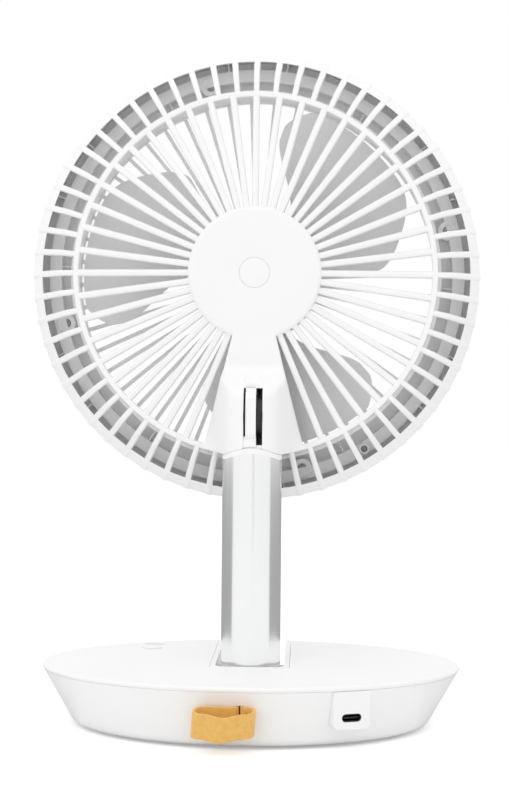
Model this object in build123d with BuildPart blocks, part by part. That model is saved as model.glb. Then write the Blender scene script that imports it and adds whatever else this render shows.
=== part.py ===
from build123d import *
import os
from math import atan2, cos, radians, sin, sqrt, tan

# Folding rechargeable table fan, in millimetres, standing upright on its base.
# The origin is on the table under the middle of the base, +Z is up and the air leaves towards -Y.

os.makedirs("parts", exist_ok=True)

# Fits
fit = 0.15
seat = 0.05
hinge_gap = 0.5

# Base: an oval boat with leaning walls
foot_pad_height = 1.2
foot_pad_radius = 5.5
foot_pad_inset_x = 41.0
foot_pad_inset_y = 26.0
base_top = 28.0
rim_length = 197.0
rim_depth = 146.0
underside_length = 166.0
underside_depth = 132.0
base_edge_round = 5.0
base_wall = 2.2
base_floor = 1.6
cover_thickness = 2.2
cover_edge_round = 1.1
cover_joint_chamfer = 0.3

# Screws that hold the cover on the shell
base_screw_inset = 16.5
base_screw_y = 18.0
base_boss_radius = 4.5
base_boss_height = 4.0
cover_post_radius = 3.4
base_screw_radius = 1.25
base_screw_head_radius = 2.6
base_screw_head_height = 1.8
base_screw_length = 14.0

# Pole and the trough that it folds into
pole_diameter = 28.0
pole_wall = 1.2
pole_length = 125.1
channel_gap = 2.0
channel_corner_round = 5.0
liner_wall = 2.4
liner_floor = 1.2
foot_swing_gap = 0.4
foot_collar = 9.0
foot_plug_length = 20.0
fold_pin_radius = 3.0
fold_washer_radius = 8.0
foot_flat_depth = 0.8
bracket_thickness = 2.0
bracket_depth = 20.0
lead_diameter = 3.2
lead_offset = 7.5
lead_end = 1.0

# Tilt hinge between the pole and the head
tilt_offset = 3.6
barrel_radius = 17.5
collar_thickness = 2.2
cap_plug_length = 16.0
knuckle_radius = 13.3
knuckle_thickness = 4.8
knuckle_offset = 0.5
stem_depth = 17.0
washer_left = 1.0
washer_right = 3.0
tilt_washer_radius = 9.5
tilt_pin_radius = 2.5
pole_side_gap = 0.8

# Head: places along the air stream are depths in front of the rear face of the hub
hub_rear_y = -8.5
hinge_inset = 18.1
head_radius = 110.0
inner_rib_count = 48
inner_rib_width = 3.0
rim_rib_count = 60
rim_rib_width = 2.8
rib_overlap = 0.8
rib_height = 4.6
rib_proud = 0.4
hub_radius = 32.0
hub_floor = 2.4
hub_wall = 2.0
hub_depth = 15.5
hub_edge_chamfer = 1.0
rib_hub_depth = 1.7
rim_slot_width = 17.9
mid_ring_width = 2.6
mid_ring_depth = 7.0
rim_band_width = 5.5
knee_step = 8.4
knee_depth = 8.5
shoulder_depth = 18.0
shoulder_drop = 7.0
shoulder_run_share = 0.75
shoulder_fall_share = 0.68
skirt_wall = 2.4
guard_joint_depth = 29.5
guard_joint_gap = 0.2
plug_radius = 7.2
plug_thickness = 1.1

# Neck of the rear guard, from the hub down to the tilt hinge
neck_top_width = 21.4
neck_bottom_width = 46.0
neck_inset = 6.6
neck_web_depth = 7.0
neck_front_depth = 16.0
neck_web_angle = 34.0
wire_pocket_width = 10.0
wire_pocket_depth = 7.0
neck_cover_thickness = 1.8
neck_cover_angle = 22.0
neck_screw_radius = 1.1
neck_screw_head_radius = 2.0
neck_screw_head_height = 1.2
neck_screw_length = 4.2
neck_screw_inset = 5.0
wire_pocket_inset = 10.0

# Front guard and the duct between the two guards
front_depth = 48.5
front_rim_depth = 44.0
front_shoulder_drop = 5.6
front_hub_radius = 31.0
front_hub_thickness = 4.0
front_plate_radius = 26.0
front_plate_thickness = 1.5
duct_step = 1.9
duct_wall = 2.0
duct_rear_depth = 18.5
flange_thickness = 2.0
snap_count = 6
snap_angle = 16.0
snap_first_angle = 30.0
snap_height = 3.2
snap_thickness = 1.6
shroud_screw_step = 6.5
shroud_screw_count = 4
shroud_screw_first_angle = 13.8
shroud_screw_radius = 1.25
shroud_screw_head_radius = 2.6
shroud_screw_head_height = 1.8
shroud_screw_length = 11.0
shroud_boss_radius = 3.6
lock_screw_angle = -57.4
lock_screw_step = 11.5
lock_boss_radius = 2.6
lock_boss_height = 4.5
lock_screw_radius = 0.9
lock_screw_head_radius = 2.0
lock_screw_head_height = 1.4

# Motor
motor_plate_thickness = 2.5
motor_screw_circle = 24.5
motor_screw_count = 3
motor_screw_radius = 1.0
motor_screw_head_radius = 2.2
motor_screw_head_height = 1.4
motor_screw_grip = 1.5
board_boss_radius = 10.0
board_boss_height = 1.6
board_radius = 20.0
board_thickness = 1.2
stator_shoulder_radius = 7.2
stator_depth = 9.5
stator_height = 12.0
stator_radius = 17.5
stator_ring_radius = 8.6
stator_shoe = 1.9
stator_arm_width = 3.0
stator_slot_width = 2.0
stator_arms = 9
coil_end_gap = 0.5
coil_thickness = 1.3
bearing_tube_radius = 6.0
bearing_radius = 4.0
bearing_width = 3.0
bearing_inset = 2.0
shaft_radius = 1.5
shaft_tip = 0.8
air_gap = 0.45
magnet_thickness = 1.3
magnet_height = 12.0
can_wall = 1.2
can_end = 1.6
can_rear_depth = 9.0
can_boss_radius = 3.5
can_boss_height = 3.0
end_gap = 0.4

# Impeller
impeller_hub_wall = 6.0
impeller_rear_depth = 12.5
impeller_front_depth = 33.5
blade_count = 3
blade_first_angle = 40.0
blade_tip_gap = 4.0
blade_thickness = 1.8
blade_depth = 29.0
blade_camber = 3.0
blade_root_station = 20.0
blade_root_half_width = 20.0
blade_root_pitch = 22.0
blade_middle_station = 52.0
blade_middle_half_width = 44.0
blade_middle_pitch = 13.5
blade_overrun = 4.5
blade_tip_half_width = 62.0
blade_tip_pitch = 9.0
impeller_root_radius = 23.0
blade_root_trail_angle = 60.0
blade_root_lead_angle = 112.0
blade_corner_drop = 25.5
blade_trail_angle = 54.0
blade_round_drop = 8.5
blade_round_angle = 68.5
blade_tip_angle = 88.0
blade_tip_middle_angle = 105.0
blade_tip_end_angle = 121.0
blade_lead_drop = 17.5
blade_lead_angle = 130.5
blade_waist_drop = 37.5
blade_waist_angle = 121.0
nut_radius = 5.0
nut_height = 3.2

# Battery and trays
cell_diameter = 18.4
cell_length = 65.2
cell_spacing = 1.0
cell_gap = 1.2
cell_y = 4.5
tray_floor = 1.0
tray_height = 7.0
tray_length = 44.0

# Button, lights and control board
button_x = 50.0
button_inset = 34.0
button_radius = 4.6
button_flange = 1.0
button_proud = 0.6
plunger_radius = 1.5
plunger_length = 1.6
switch_size = 4.5
switch_height = 1.8
switch_gap = 0.7
control_board_length = 22.0
control_board_depth = 24.0
control_board_thickness = 1.4
control_board_step = 5.0
control_post_radius = 1.6
lens_step = 12.5
lens_length = 10.0
lens_width = 2.4
lens_flange = 0.8
lens_depth = 1.2

# USB-C inlet
usb_x = -45.8
usb_bezel_width = 17.0
usb_bezel_height = 16.3
usb_bezel_proud = 0.6
usb_bezel_depth = 13.0
usb_bezel_wall = 1.6
usb_bezel_rim = 1.4
usb_corner_round = 2.6
usb_height = 14.4
usb_width = 8.94
usb_thickness = 3.26
usb_length = 7.4
usb_wall = 0.35
usb_recess = 0.6
usb_tongue_width = 6.7
usb_tongue_thickness = 0.7
usb_board_width = 14.0
usb_board_length = 12.0
usb_board_thickness = 1.0

# Webbing loop
strap_x = 2.2
strap_width = 11.6
strap_thickness = 1.4
strap_top = 20.0
strap_droop = 3.6
strap_reach = 15.2
strap_loop_gap = 6.5
strap_bend = 1.7
strap_ply_gap = 0.5
strap_wall_gap = 0.6
clip_wall = 1.6
clip_depth = 5.0

# Derived places
pole_radius = pole_diameter / 2
floor_top = foot_pad_height + base_floor
cover_bottom = base_top - cover_thickness
channel_floor = floor_top + liner_floor
fold_z = channel_floor + foot_swing_gap + pole_radius
tilt_z = fold_z + pole_length
rim_opening_radius = head_radius - rim_band_width
mid_ring_radius = rim_opening_radius - rim_slot_width
knee_radius = mid_ring_radius + knee_step
neck_length = mid_ring_radius - neck_inset
head_z = tilt_z + mid_ring_radius - hinge_inset
duct_radius = mid_ring_radius + duct_step
front_ring_radius = duct_radius + duct_wall / 2
shroud_screw_circle = duct_radius + shroud_screw_step
lock_screw_circle = duct_radius + lock_screw_step
blade_tip_radius = duct_radius - blade_tip_gap
blade_tip_station = blade_tip_radius + blade_overrun
blade_corner_radius = blade_tip_radius - blade_corner_drop
blade_round_radius = blade_tip_radius - blade_round_drop
blade_lead_radius = blade_tip_radius - blade_lead_drop
blade_waist_radius = blade_tip_radius - blade_waist_drop
channel_half = pole_radius + channel_gap
liner_half = channel_half + liner_wall
saddle_radius = barrel_radius + hinge_gap
tube_bottom = fold_z + foot_collar
tube_bore_radius = pole_radius - pole_wall
plug_fit_radius = tube_bore_radius - fit
front_y = -rim_depth
foot_pad_x = underside_length / 2 - foot_pad_inset_x
foot_pad_y = underside_depth / 2 - foot_pad_inset_y
base_screw_x = underside_length / 2 - base_screw_inset
button_y = button_inset - rim_depth / 2
control_board_y = button_y - control_board_step
lens_y = button_y - lens_step

head_plane = Plane.XY.offset(head_z)
head_axis = Axis((0, 0, head_z), (0, 1, 0))


def rear_view(depth):
    """Plane across the head's axis: first coordinate to the right seen from behind, second up."""
    return Plane(origin=(0, hub_rear_y - depth, head_z), x_dir=(-1, 0, 0), z_dir=(0, 1, 0))


def rim(radius, depth):
    """Point of a turned profile: distance from the head's axis, and place along the axis."""
    return (radius, hub_rear_y - depth)


def polar(radius, angle):
    """Point of a rear view sketch at a radius and an angle from the right."""
    return (radius * cos(radians(angle)), radius * sin(radians(angle)))


def base_oval(height, inset=0.0):
    """Half length and half depth of the leaning base wall at a height, moved in by an inset."""
    share = (height - foot_pad_height) / (base_top - foot_pad_height)
    half_length = (underside_length + share * (rim_length - underside_length)) / 2
    half_depth = (underside_depth + share * (rim_depth - underside_depth)) / 2
    return half_length - inset, half_depth - inset


def loft_base(bottom, top, inset=0.0, mode=Mode.ADD):
    """Loft the base's oval between two heights into the part that is being built."""
    sections = []
    for height in (bottom, top):
        with BuildSketch(Plane.XY.offset(height)) as section:
            Ellipse(*base_oval(height, inset))
        sections.append(section.sketch)
    loft(sections, mode=mode)


def rib_bars(inner, ring, angles):
    """Bars in the current sketch: inner ribs at the angles up to the ring, rim ribs all round beyond it."""
    reach = ring + rib_overlap - inner
    with Locations(*[Location((*polar(inner + reach / 2, angle), 0), (0, 0, angle)) for angle in angles]):
        Rectangle(reach, inner_rib_width)
    start = ring - rib_overlap
    end = head_radius + rib_proud
    with PolarLocations((start + end) / 2, rim_rib_count):
        Rectangle(end - start, rim_rib_width)


base_screw_points = [(x * base_screw_x, y * base_screw_y) for x in (-1, 1) for y in (-1, 1)]
foot_pad_points = [(x * foot_pad_x, y * foot_pad_y) for x in (-1, 1) for y in (-1, 1)]

# The inlet stands on the rim of the rear wall and faces square out of it
usb_rim_x, usb_rim_y = base_oval(cover_bottom)
usb_y = usb_rim_y * sqrt(1 - (usb_x / usb_rim_x) ** 2)
usb_turn = atan2(usb_x / usb_rim_x**2, usb_y / usb_rim_y**2)
usb_out = (sin(usb_turn), cos(usb_turn), 0)
usb_right = (-cos(usb_turn), sin(usb_turn), 0)
usb_face = Plane(
    origin=(usb_x + usb_out[0] * usb_bezel_proud, usb_y + usb_out[1] * usb_bezel_proud, usb_height),
    x_dir=usb_right,
    z_dir=usb_out,
)
usb_bezel_top = cover_bottom - seat - usb_height
usb_bezel_middle = usb_bezel_top - usb_bezel_height / 2

# The webbing leaves the rear wall at its slot
strap_wall_y = base_oval(strap_top)[1]
strap_slot_width = 2 * strap_thickness + strap_ply_gap + 2 * fit
clip_outer_y = base_oval(strap_top - strap_width - clip_wall)[1] - base_wall - fit
strap_inner_y = clip_outer_y - clip_depth

# Base shell: oval tub with screw bosses, and openings for the trough, the inlet and the webbing
with BuildPart() as base_shell:
    loft_base(foot_pad_height, cover_bottom)
    fillet(base_shell.faces().sort_by(Axis.Z)[0].edges(), base_edge_round)
    loft_base(floor_top, cover_bottom, base_wall, Mode.SUBTRACT)
    with BuildSketch(Plane.XY.offset(floor_top)):
        with Locations(*base_screw_points):
            Circle(base_boss_radius)
    extrude(amount=base_boss_height)
    with BuildSketch(Plane.XY.offset(foot_pad_height)):
        with Locations(*base_screw_points):
            Circle(base_screw_head_radius + fit)
    extrude(amount=base_screw_head_height + base_floor, mode=Mode.SUBTRACT)
    with BuildSketch(Plane.XY.offset(foot_pad_height)):
        with Locations(*base_screw_points):
            Circle(base_screw_radius + fit)
    extrude(amount=base_floor + base_boss_height, mode=Mode.SUBTRACT)
    with BuildSketch(Plane.XY.offset(floor_top)):
        with Locations((0, (front_y + liner_half + fit) / 2)):
            Rectangle(2 * (liner_half + fit), liner_half + fit - front_y)
    extrude(amount=cover_bottom, mode=Mode.SUBTRACT)
    with BuildSketch(usb_face):
        with Locations((0, usb_bezel_middle + base_top / 2)):
            RectangleRounded(
                usb_bezel_width + 2 * seat,
                usb_bezel_height + base_top + 2 * seat,
                usb_corner_round + seat,
            )
    extrude(amount=-usb_bezel_depth - base_wall, mode=Mode.SUBTRACT)
    with BuildSketch(Plane.XZ.offset(-strap_wall_y)):
        with Locations((strap_x, strap_top - strap_width / 2)):
            Rectangle(strap_slot_width, strap_width + 2 * fit)
    extrude(amount=strap_wall_y - strap_inner_y, both=True, mode=Mode.SUBTRACT)

# Base cover: flat oval plate with the trough's notch, the screw posts and the board posts
control_board_top = cover_bottom - plunger_length - button_flange - switch_gap - switch_height
control_post_points = [
    (button_x + side * (control_board_length / 2 - control_post_radius), button_y) for side in (-1, 1)
]
with BuildPart() as base_cover:
    loft_base(cover_bottom, base_top)
    fillet(base_cover.faces().sort_by(Axis.Z)[-1].edges(), cover_edge_round)
    chamfer(base_cover.faces().sort_by(Axis.Z)[0].edges(), cover_joint_chamfer)
    with BuildSketch(Plane.XY.offset(floor_top + base_boss_height)):
        with Locations(*base_screw_points):
            Circle(cover_post_radius)
            Circle(base_screw_radius + seat, mode=Mode.SUBTRACT)
    extrude(amount=cover_bottom - floor_top - base_boss_height)
    with BuildSketch(Plane.XY.offset(control_board_top)):
        with Locations(*control_post_points):
            Circle(control_post_radius)
    extrude(amount=cover_bottom - control_board_top)
    with BuildSketch(Plane.XY.offset(cover_bottom)):
        with Locations((0, (front_y + liner_half + fit) / 2)):
            Rectangle(2 * (liner_half + fit), liner_half + fit - front_y)
        with Locations((button_x, button_y)):
            Circle(button_radius + fit)
        with Locations((button_x, lens_y)):
            SlotOverall(lens_length + 2 * fit, lens_width + 2 * fit)
    extrude(amount=cover_thickness, mode=Mode.SUBTRACT)

# Trough liner: open at the top and at the front, cut to the lean of the front wall
with BuildPart() as channel_liner:
    loft_base(floor_top, base_top)
    with BuildSketch(Plane.XY.offset(floor_top)):
        with Locations((0, (front_y + liner_half) / 2)):
            Rectangle(2 * liner_half, liner_half - front_y)
    extrude(amount=base_top, mode=Mode.INTERSECT)
    with BuildSketch(Plane.XY.offset(channel_floor)):
        with Locations((0, (front_y + channel_half) / 2)):
            RectangleRounded(2 * channel_half, channel_half - front_y, channel_corner_round)
    extrude(amount=base_top, mode=Mode.SUBTRACT)
    with BuildSketch(Plane.YZ.offset(-liner_half)):
        with Locations((0, fold_z)):
            Circle(fold_pin_radius + seat)
    extrude(amount=2 * liner_half, mode=Mode.SUBTRACT)

# Rubber feet under the shell
with BuildPart() as rubber_feet:
    with BuildSketch():
        with Locations(*foot_pad_points):
            Circle(foot_pad_radius)
    extrude(amount=foot_pad_height)

# Screws from below, through the shell into the cover's posts
with BuildPart() as base_screws:
    with BuildSketch(Plane.XY.offset(foot_pad_height + base_floor)):
        with Locations(*base_screw_points):
            Circle(base_screw_head_radius)
    extrude(amount=base_screw_head_height)
    with BuildSketch(Plane.XY.offset(foot_pad_height + base_floor + base_screw_head_height)):
        with Locations(*base_screw_points):
            Circle(base_screw_radius)
    extrude(amount=base_screw_length)

# Fold hinge: two steel plates against the trough, the pin through them and the friction washers
fold_brackets = {}
for side, hand in (("left", 1), ("right", -1)):
    plate_x = hand * (liner_half + fit + bracket_thickness / 2) - bracket_thickness / 2
    with BuildPart() as bracket:
        with BuildSketch(Plane.YZ.offset(plate_x)):
            with Locations((0, (floor_top + cover_bottom) / 2)):
                Rectangle(bracket_depth, cover_bottom - floor_top - 2 * seat)
            with Locations((0, fold_z)):
                Circle(fold_pin_radius + seat, mode=Mode.SUBTRACT)
        extrude(amount=bracket_thickness)
    fold_brackets[side] = bracket

fold_pin_half = liner_half + fit + bracket_thickness
with BuildPart() as fold_pin:
    with BuildSketch(Plane.YZ.offset(-fold_pin_half)):
        with Locations((0, fold_z)):
            Circle(fold_pin_radius)
    extrude(amount=2 * fold_pin_half)

foot_flat = pole_radius - foot_flat_depth
with BuildPart() as fold_washers:
    for start in (-channel_half + seat, foot_flat + fit):
        with BuildSketch(Plane.YZ.offset(start)):
            with Locations((0, fold_z)):
                Circle(fold_washer_radius)
                Circle(fold_pin_radius + seat, mode=Mode.SUBTRACT)
        extrude(amount=channel_half - seat - foot_flat - fit)

# Pole foot: rounded about the fold pin, with a plug for the tube and a bore for the lead
with BuildPart() as pole_foot:
    with BuildSketch(Plane.XY.offset(fold_z - pole_radius)):
        Circle(pole_radius)
    extrude(amount=pole_radius + foot_collar)
    with BuildSketch(Plane.YZ.offset(-pole_radius)):
        with Locations((0, fold_z)):
            Circle(pole_radius)
        with Locations((0, fold_z + pole_radius)):
            Rectangle(pole_diameter, pole_diameter)
    extrude(amount=pole_diameter, mode=Mode.INTERSECT)
    with BuildSketch(Plane.XY.offset(tube_bottom)):
        Circle(plug_fit_radius)
    extrude(amount=foot_plug_length)
    for start in (-pole_radius, foot_flat):
        with BuildSketch(Plane.YZ.offset(start)):
            with Locations((0, fold_z)):
                Circle(fold_washer_radius + fit)
        extrude(amount=foot_flat_depth, mode=Mode.SUBTRACT)
    with BuildSketch(Plane.YZ.offset(-pole_radius)):
        with Locations((0, fold_z)):
            Circle(fold_pin_radius + fit)
    extrude(amount=pole_diameter, mode=Mode.SUBTRACT)
    with BuildSketch(Plane.XY.offset(fold_z - pole_radius)):
        with Locations((0, -lead_offset)):
            Circle(lead_diameter / 2 + fit)
    extrude(amount=pole_diameter + foot_collar + foot_plug_length, mode=Mode.SUBTRACT)

# Pole tube: its top is cut round to the tilt hinge
with BuildPart() as pole_tube:
    with BuildSketch(Plane.XY.offset(tube_bottom)):
        Circle(pole_radius)
        Circle(tube_bore_radius, mode=Mode.SUBTRACT)
    extrude(amount=tilt_z - tube_bottom)
    with BuildSketch(Plane.YZ.offset(-pole_radius)):
        with Locations((tilt_offset, tilt_z)):
            Circle(saddle_radius + collar_thickness)
    extrude(amount=pole_diameter, mode=Mode.SUBTRACT)

# Pole cap: curved collar on the tube, plug inside it and the hinge knuckle standing on it
cap_plug_bottom = tilt_z - saddle_radius - collar_thickness - cap_plug_length
knuckle_right = knuckle_offset - knuckle_thickness / 2
stem_height = saddle_radius + collar_thickness / 2
with BuildPart() as pole_cap:
    with BuildSketch(Plane.XY.offset(cap_plug_bottom)):
        Circle(pole_radius)
    extrude(amount=tilt_z - cap_plug_bottom)
    with BuildSketch(Plane.YZ.offset(-pole_radius)):
        with Locations((tilt_offset, tilt_z)):
            Circle(saddle_radius + collar_thickness)
    extrude(amount=pole_diameter, mode=Mode.INTERSECT)
    with BuildSketch(Plane.XY.offset(cap_plug_bottom)):
        Circle(plug_fit_radius)
    extrude(amount=tilt_z - cap_plug_bottom)
    with BuildSketch(Plane.YZ.offset(-pole_radius)):
        with Locations((tilt_offset, tilt_z)):
            Circle(saddle_radius)
    extrude(amount=pole_diameter, mode=Mode.SUBTRACT)
    with BuildSketch(Plane.YZ.offset(knuckle_right)):
        with Locations((tilt_offset, tilt_z)):
            Circle(knuckle_radius)
        with Locations((tilt_offset, tilt_z - stem_height / 2)):
            Rectangle(stem_depth, stem_height)
    extrude(amount=knuckle_thickness)
    with BuildSketch(Plane.XY.offset(cap_plug_bottom)):
        Circle(pole_radius)
    extrude(amount=tilt_z + knuckle_radius - cap_plug_bottom, mode=Mode.INTERSECT)
    with BuildSketch(Plane.YZ.offset(knuckle_right)):
        with Locations((tilt_offset, tilt_z)):
            Circle(tilt_pin_radius + fit)
    extrude(amount=knuckle_thickness, mode=Mode.SUBTRACT)
    with BuildSketch(Plane.XY.offset(cap_plug_bottom)):
        with Locations((0, -lead_offset)):
            Circle(lead_diameter / 2 + fit)
    extrude(amount=tilt_z - cap_plug_bottom, mode=Mode.SUBTRACT)

# Lead inside the pole, held by the bores of the foot and the cap
lead_bottom = fold_z - sqrt(pole_radius**2 - lead_offset**2) + lead_end
lead_top = tilt_z - saddle_radius - lead_end
with BuildPart() as pole_lead:
    with BuildSketch(Plane.XY.offset(lead_bottom)):
        with Locations((0, -lead_offset)):
            Circle(lead_diameter / 2)
    extrude(amount=lead_top - lead_bottom)

# Hinge barrel of the head: a drum about the tilt pin, cut to the pole's round
slot_left = knuckle_right + knuckle_thickness + washer_left
slot_right = knuckle_right - washer_right
with BuildPart() as hinge_barrel:
    with BuildSketch(Plane.YZ.offset(-pole_radius)):
        with Locations((tilt_offset, tilt_z)):
            Circle(barrel_radius)
    extrude(amount=pole_diameter)
    with BuildSketch(Plane.XY.offset(tilt_z - barrel_radius)):
        Circle(pole_radius)
    extrude(amount=2 * barrel_radius, mode=Mode.INTERSECT)

neck_screw_points = [
    (0, -hub_radius - neck_screw_inset),
    (0, -mid_ring_radius + mid_ring_width + neck_screw_inset),
]
neck_pocket_top = hub_radius + wire_pocket_inset
neck_pocket_bottom = mid_ring_radius - mid_ring_width - wire_pocket_inset

neck_sector = (
    (0, 0),
    polar(2 * head_radius, -90 - neck_web_angle / 2),
    polar(2 * head_radius, -90 + neck_web_angle / 2),
)

# Rear guard: domed ribs, rings, hub cup and the neck with the hinge barrel, in one moulding
skirt_radius = head_radius - rib_proud
rib_inner_radius = hub_radius - hub_wall / 2
quarter = sin(radians(45))
rib_angles = [360 / inner_rib_count * index for index in range(inner_rib_count)]
rear_rib_angles = [angle for angle in rib_angles if abs(angle - 270) > neck_web_angle / 2]
with BuildPart() as rear_ribs:
    with BuildSketch(head_plane):
        with BuildLine():
            dome = Polyline(
                rim(rib_inner_radius, rib_hub_depth),
                rim(mid_ring_radius, mid_ring_depth),
                rim(knee_radius, knee_depth),
                rim(rim_opening_radius, shoulder_depth),
            )
            shoulder = ThreePointArc(
                dome @ 1,
                rim(
                    rim_opening_radius + shoulder_run_share * (head_radius - rim_opening_radius),
                    shoulder_depth + shoulder_fall_share * shoulder_drop,
                ),
                rim(head_radius, shoulder_depth + shoulder_drop),
            )
            Polyline(
                shoulder @ 1,
                rim(head_radius, guard_joint_depth),
                rim(skirt_radius - skirt_wall / 2, guard_joint_depth),
                rim(skirt_radius - skirt_wall / 2, shoulder_depth + shoulder_drop),
                rim(rim_opening_radius, shoulder_depth + rib_height),
                rim(knee_radius, knee_depth + rib_height),
                rim(mid_ring_radius, mid_ring_depth + rib_height),
                rim(rib_inner_radius, rib_hub_depth + rib_height),
                dome @ 0,
            )
        make_face()
    revolve(axis=head_axis)
    with BuildSketch(rear_view(guard_joint_depth)):
        rib_bars(rib_inner_radius, mid_ring_radius, rear_rib_angles)
    extrude(amount=guard_joint_depth, mode=Mode.INTERSECT)

with BuildPart() as rear_guard:
    # Rounded shoulder band with the skirt, middle ring and hub cup
    with BuildSketch(head_plane):
        with BuildLine():
            band = ThreePointArc(
                rim(rim_opening_radius, shoulder_depth + rib_proud),
                rim(
                    rim_opening_radius + shoulder_run_share * (skirt_radius - rim_opening_radius),
                    shoulder_depth + rib_proud + shoulder_fall_share * shoulder_drop,
                ),
                rim(skirt_radius, shoulder_depth + rib_proud + shoulder_drop),
            )
            Polyline(
                band @ 1,
                rim(skirt_radius, guard_joint_depth),
                rim(skirt_radius - skirt_wall, guard_joint_depth),
                rim(skirt_radius - skirt_wall, shoulder_depth + rib_proud + shoulder_drop),
                rim(rim_opening_radius, shoulder_depth + rib_proud + skirt_wall),
                band @ 0,
            )
        make_face()
        with Locations(rim(mid_ring_radius, mid_ring_depth + rib_height / 2)):
            Rectangle(mid_ring_width, rib_height)
        with BuildLine():
            Polyline(
                rim(0, 0),
                rim(hub_radius - hub_edge_chamfer, 0),
                rim(hub_radius, hub_edge_chamfer),
                rim(hub_radius, hub_depth),
                rim(hub_radius - hub_wall, hub_depth),
                rim(hub_radius - hub_wall, hub_floor),
                rim(0, hub_floor),
                rim(0, 0),
            )
        make_face()
    revolve(axis=head_axis)
    # Neck: flat wedge, and a deeper web down to the middle ring
    with BuildSketch(rear_view(neck_front_depth)):
        Polygon(
            (-neck_top_width / 2, -rib_inner_radius),
            (neck_top_width / 2, -rib_inner_radius),
            (neck_bottom_width / 2, -neck_length),
            (-neck_bottom_width / 2, -neck_length),
            align=None,
        )
    extrude(amount=neck_front_depth)
    with BuildSketch(rear_view(neck_front_depth)):
        Circle(mid_ring_radius)
        Circle(rib_inner_radius, mode=Mode.SUBTRACT)
        Polygon(*neck_sector, align=None, mode=Mode.INTERSECT)
    extrude(amount=neck_front_depth - neck_web_depth)
    # Room for the pole under the barrel
    with BuildSketch(Plane.XY.offset(tilt_z)):
        with Locations((0, head_radius / 2)):
            Rectangle(pole_diameter + 2 * pole_side_gap, head_radius + pole_diameter + 2 * pole_side_gap)
    extrude(amount=-head_radius, mode=Mode.SUBTRACT)
    add(hinge_barrel.part)
    with BuildSketch(Plane.YZ.offset(slot_right)):
        with Locations((tilt_offset, tilt_z)):
            Circle(barrel_radius + hinge_gap)
    extrude(amount=slot_left - slot_right, mode=Mode.SUBTRACT)
    with BuildSketch(Plane.YZ.offset(-pole_radius)):
        with Locations((tilt_offset, tilt_z)):
            Circle(tilt_pin_radius + seat)
    extrude(amount=pole_diameter, mode=Mode.SUBTRACT)
    # Seat of the plug, blind holes of the motor screws, wire pocket and holes of the neck screws
    with BuildSketch(rear_view(plug_thickness)):
        Circle(plug_radius + seat)
    extrude(amount=plug_thickness, mode=Mode.SUBTRACT)
    with BuildSketch(rear_view(hub_floor)):
        with PolarLocations(motor_screw_circle, motor_screw_count):
            Circle(motor_screw_radius + seat)
    extrude(amount=motor_screw_grip, mode=Mode.SUBTRACT)
    with BuildSketch(rear_view(neck_front_depth)):
        with Locations((0, -(neck_pocket_top + neck_pocket_bottom) / 2)):
            Rectangle(wire_pocket_width, neck_pocket_bottom - neck_pocket_top)
    extrude(amount=wire_pocket_depth, mode=Mode.SUBTRACT)
    with BuildSketch(rear_view(neck_front_depth)):
        with Locations(*neck_screw_points):
            Circle(neck_screw_radius + seat)
    extrude(amount=neck_screw_length, mode=Mode.SUBTRACT)
    add(rear_ribs.part)

# Plug in the middle of the rear hub
with BuildPart() as hub_plug:
    with BuildSketch(rear_view(plug_thickness)):
        Circle(plug_radius)
    extrude(amount=plug_thickness)

# Neck cover: plate over the wire pocket, with recesses for its screws
with BuildPart() as neck_cover:
    with BuildSketch(rear_view(neck_front_depth + neck_cover_thickness)):
        Circle(mid_ring_radius - mid_ring_width)
        Circle(hub_radius + fit, mode=Mode.SUBTRACT)
        Polygon(
            (0, 0),
            polar(2 * head_radius, -90 - neck_cover_angle / 2),
            polar(2 * head_radius, -90 + neck_cover_angle / 2),
            align=None,
            mode=Mode.INTERSECT,
        )
    extrude(amount=neck_cover_thickness)
    with BuildSketch(rear_view(neck_front_depth + neck_cover_thickness)):
        with Locations(*neck_screw_points):
            Circle(neck_screw_head_radius + fit)
    extrude(amount=neck_screw_head_height, mode=Mode.SUBTRACT)
    with BuildSketch(rear_view(neck_front_depth + neck_cover_thickness)):
        with Locations(*neck_screw_points):
            Circle(neck_screw_radius + fit)
    extrude(amount=neck_cover_thickness, mode=Mode.SUBTRACT)

with BuildPart() as neck_screws:
    with BuildSketch(rear_view(neck_front_depth + neck_cover_thickness)):
        with Locations(*neck_screw_points):
            Circle(neck_screw_head_radius)
    extrude(amount=neck_screw_head_height)
    with BuildSketch(rear_view(neck_front_depth + neck_cover_thickness - neck_screw_head_height)):
        with Locations(*neck_screw_points):
            Circle(neck_screw_radius)
    extrude(amount=neck_screw_length)

# Tilt pin in the barrel, and the washers on both sides of the knuckle
tilt_pin_half = sqrt(pole_radius**2 - (tilt_offset + tilt_pin_radius) ** 2) - fit
with BuildPart() as tilt_pin:
    with BuildSketch(Plane.YZ.offset(-tilt_pin_half)):
        with Locations((tilt_offset, tilt_z)):
            Circle(tilt_pin_radius)
    extrude(amount=2 * tilt_pin_half)

with BuildPart() as tilt_washers:
    for start, thickness in ((slot_right, washer_right), (slot_left - washer_left, washer_left)):
        with BuildSketch(Plane.YZ.offset(start + seat)):
            with Locations((tilt_offset, tilt_z)):
                Circle(tilt_washer_radius)
                Circle(tilt_pin_radius + seat, mode=Mode.SUBTRACT)
        extrude(amount=thickness - 2 * seat)

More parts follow.
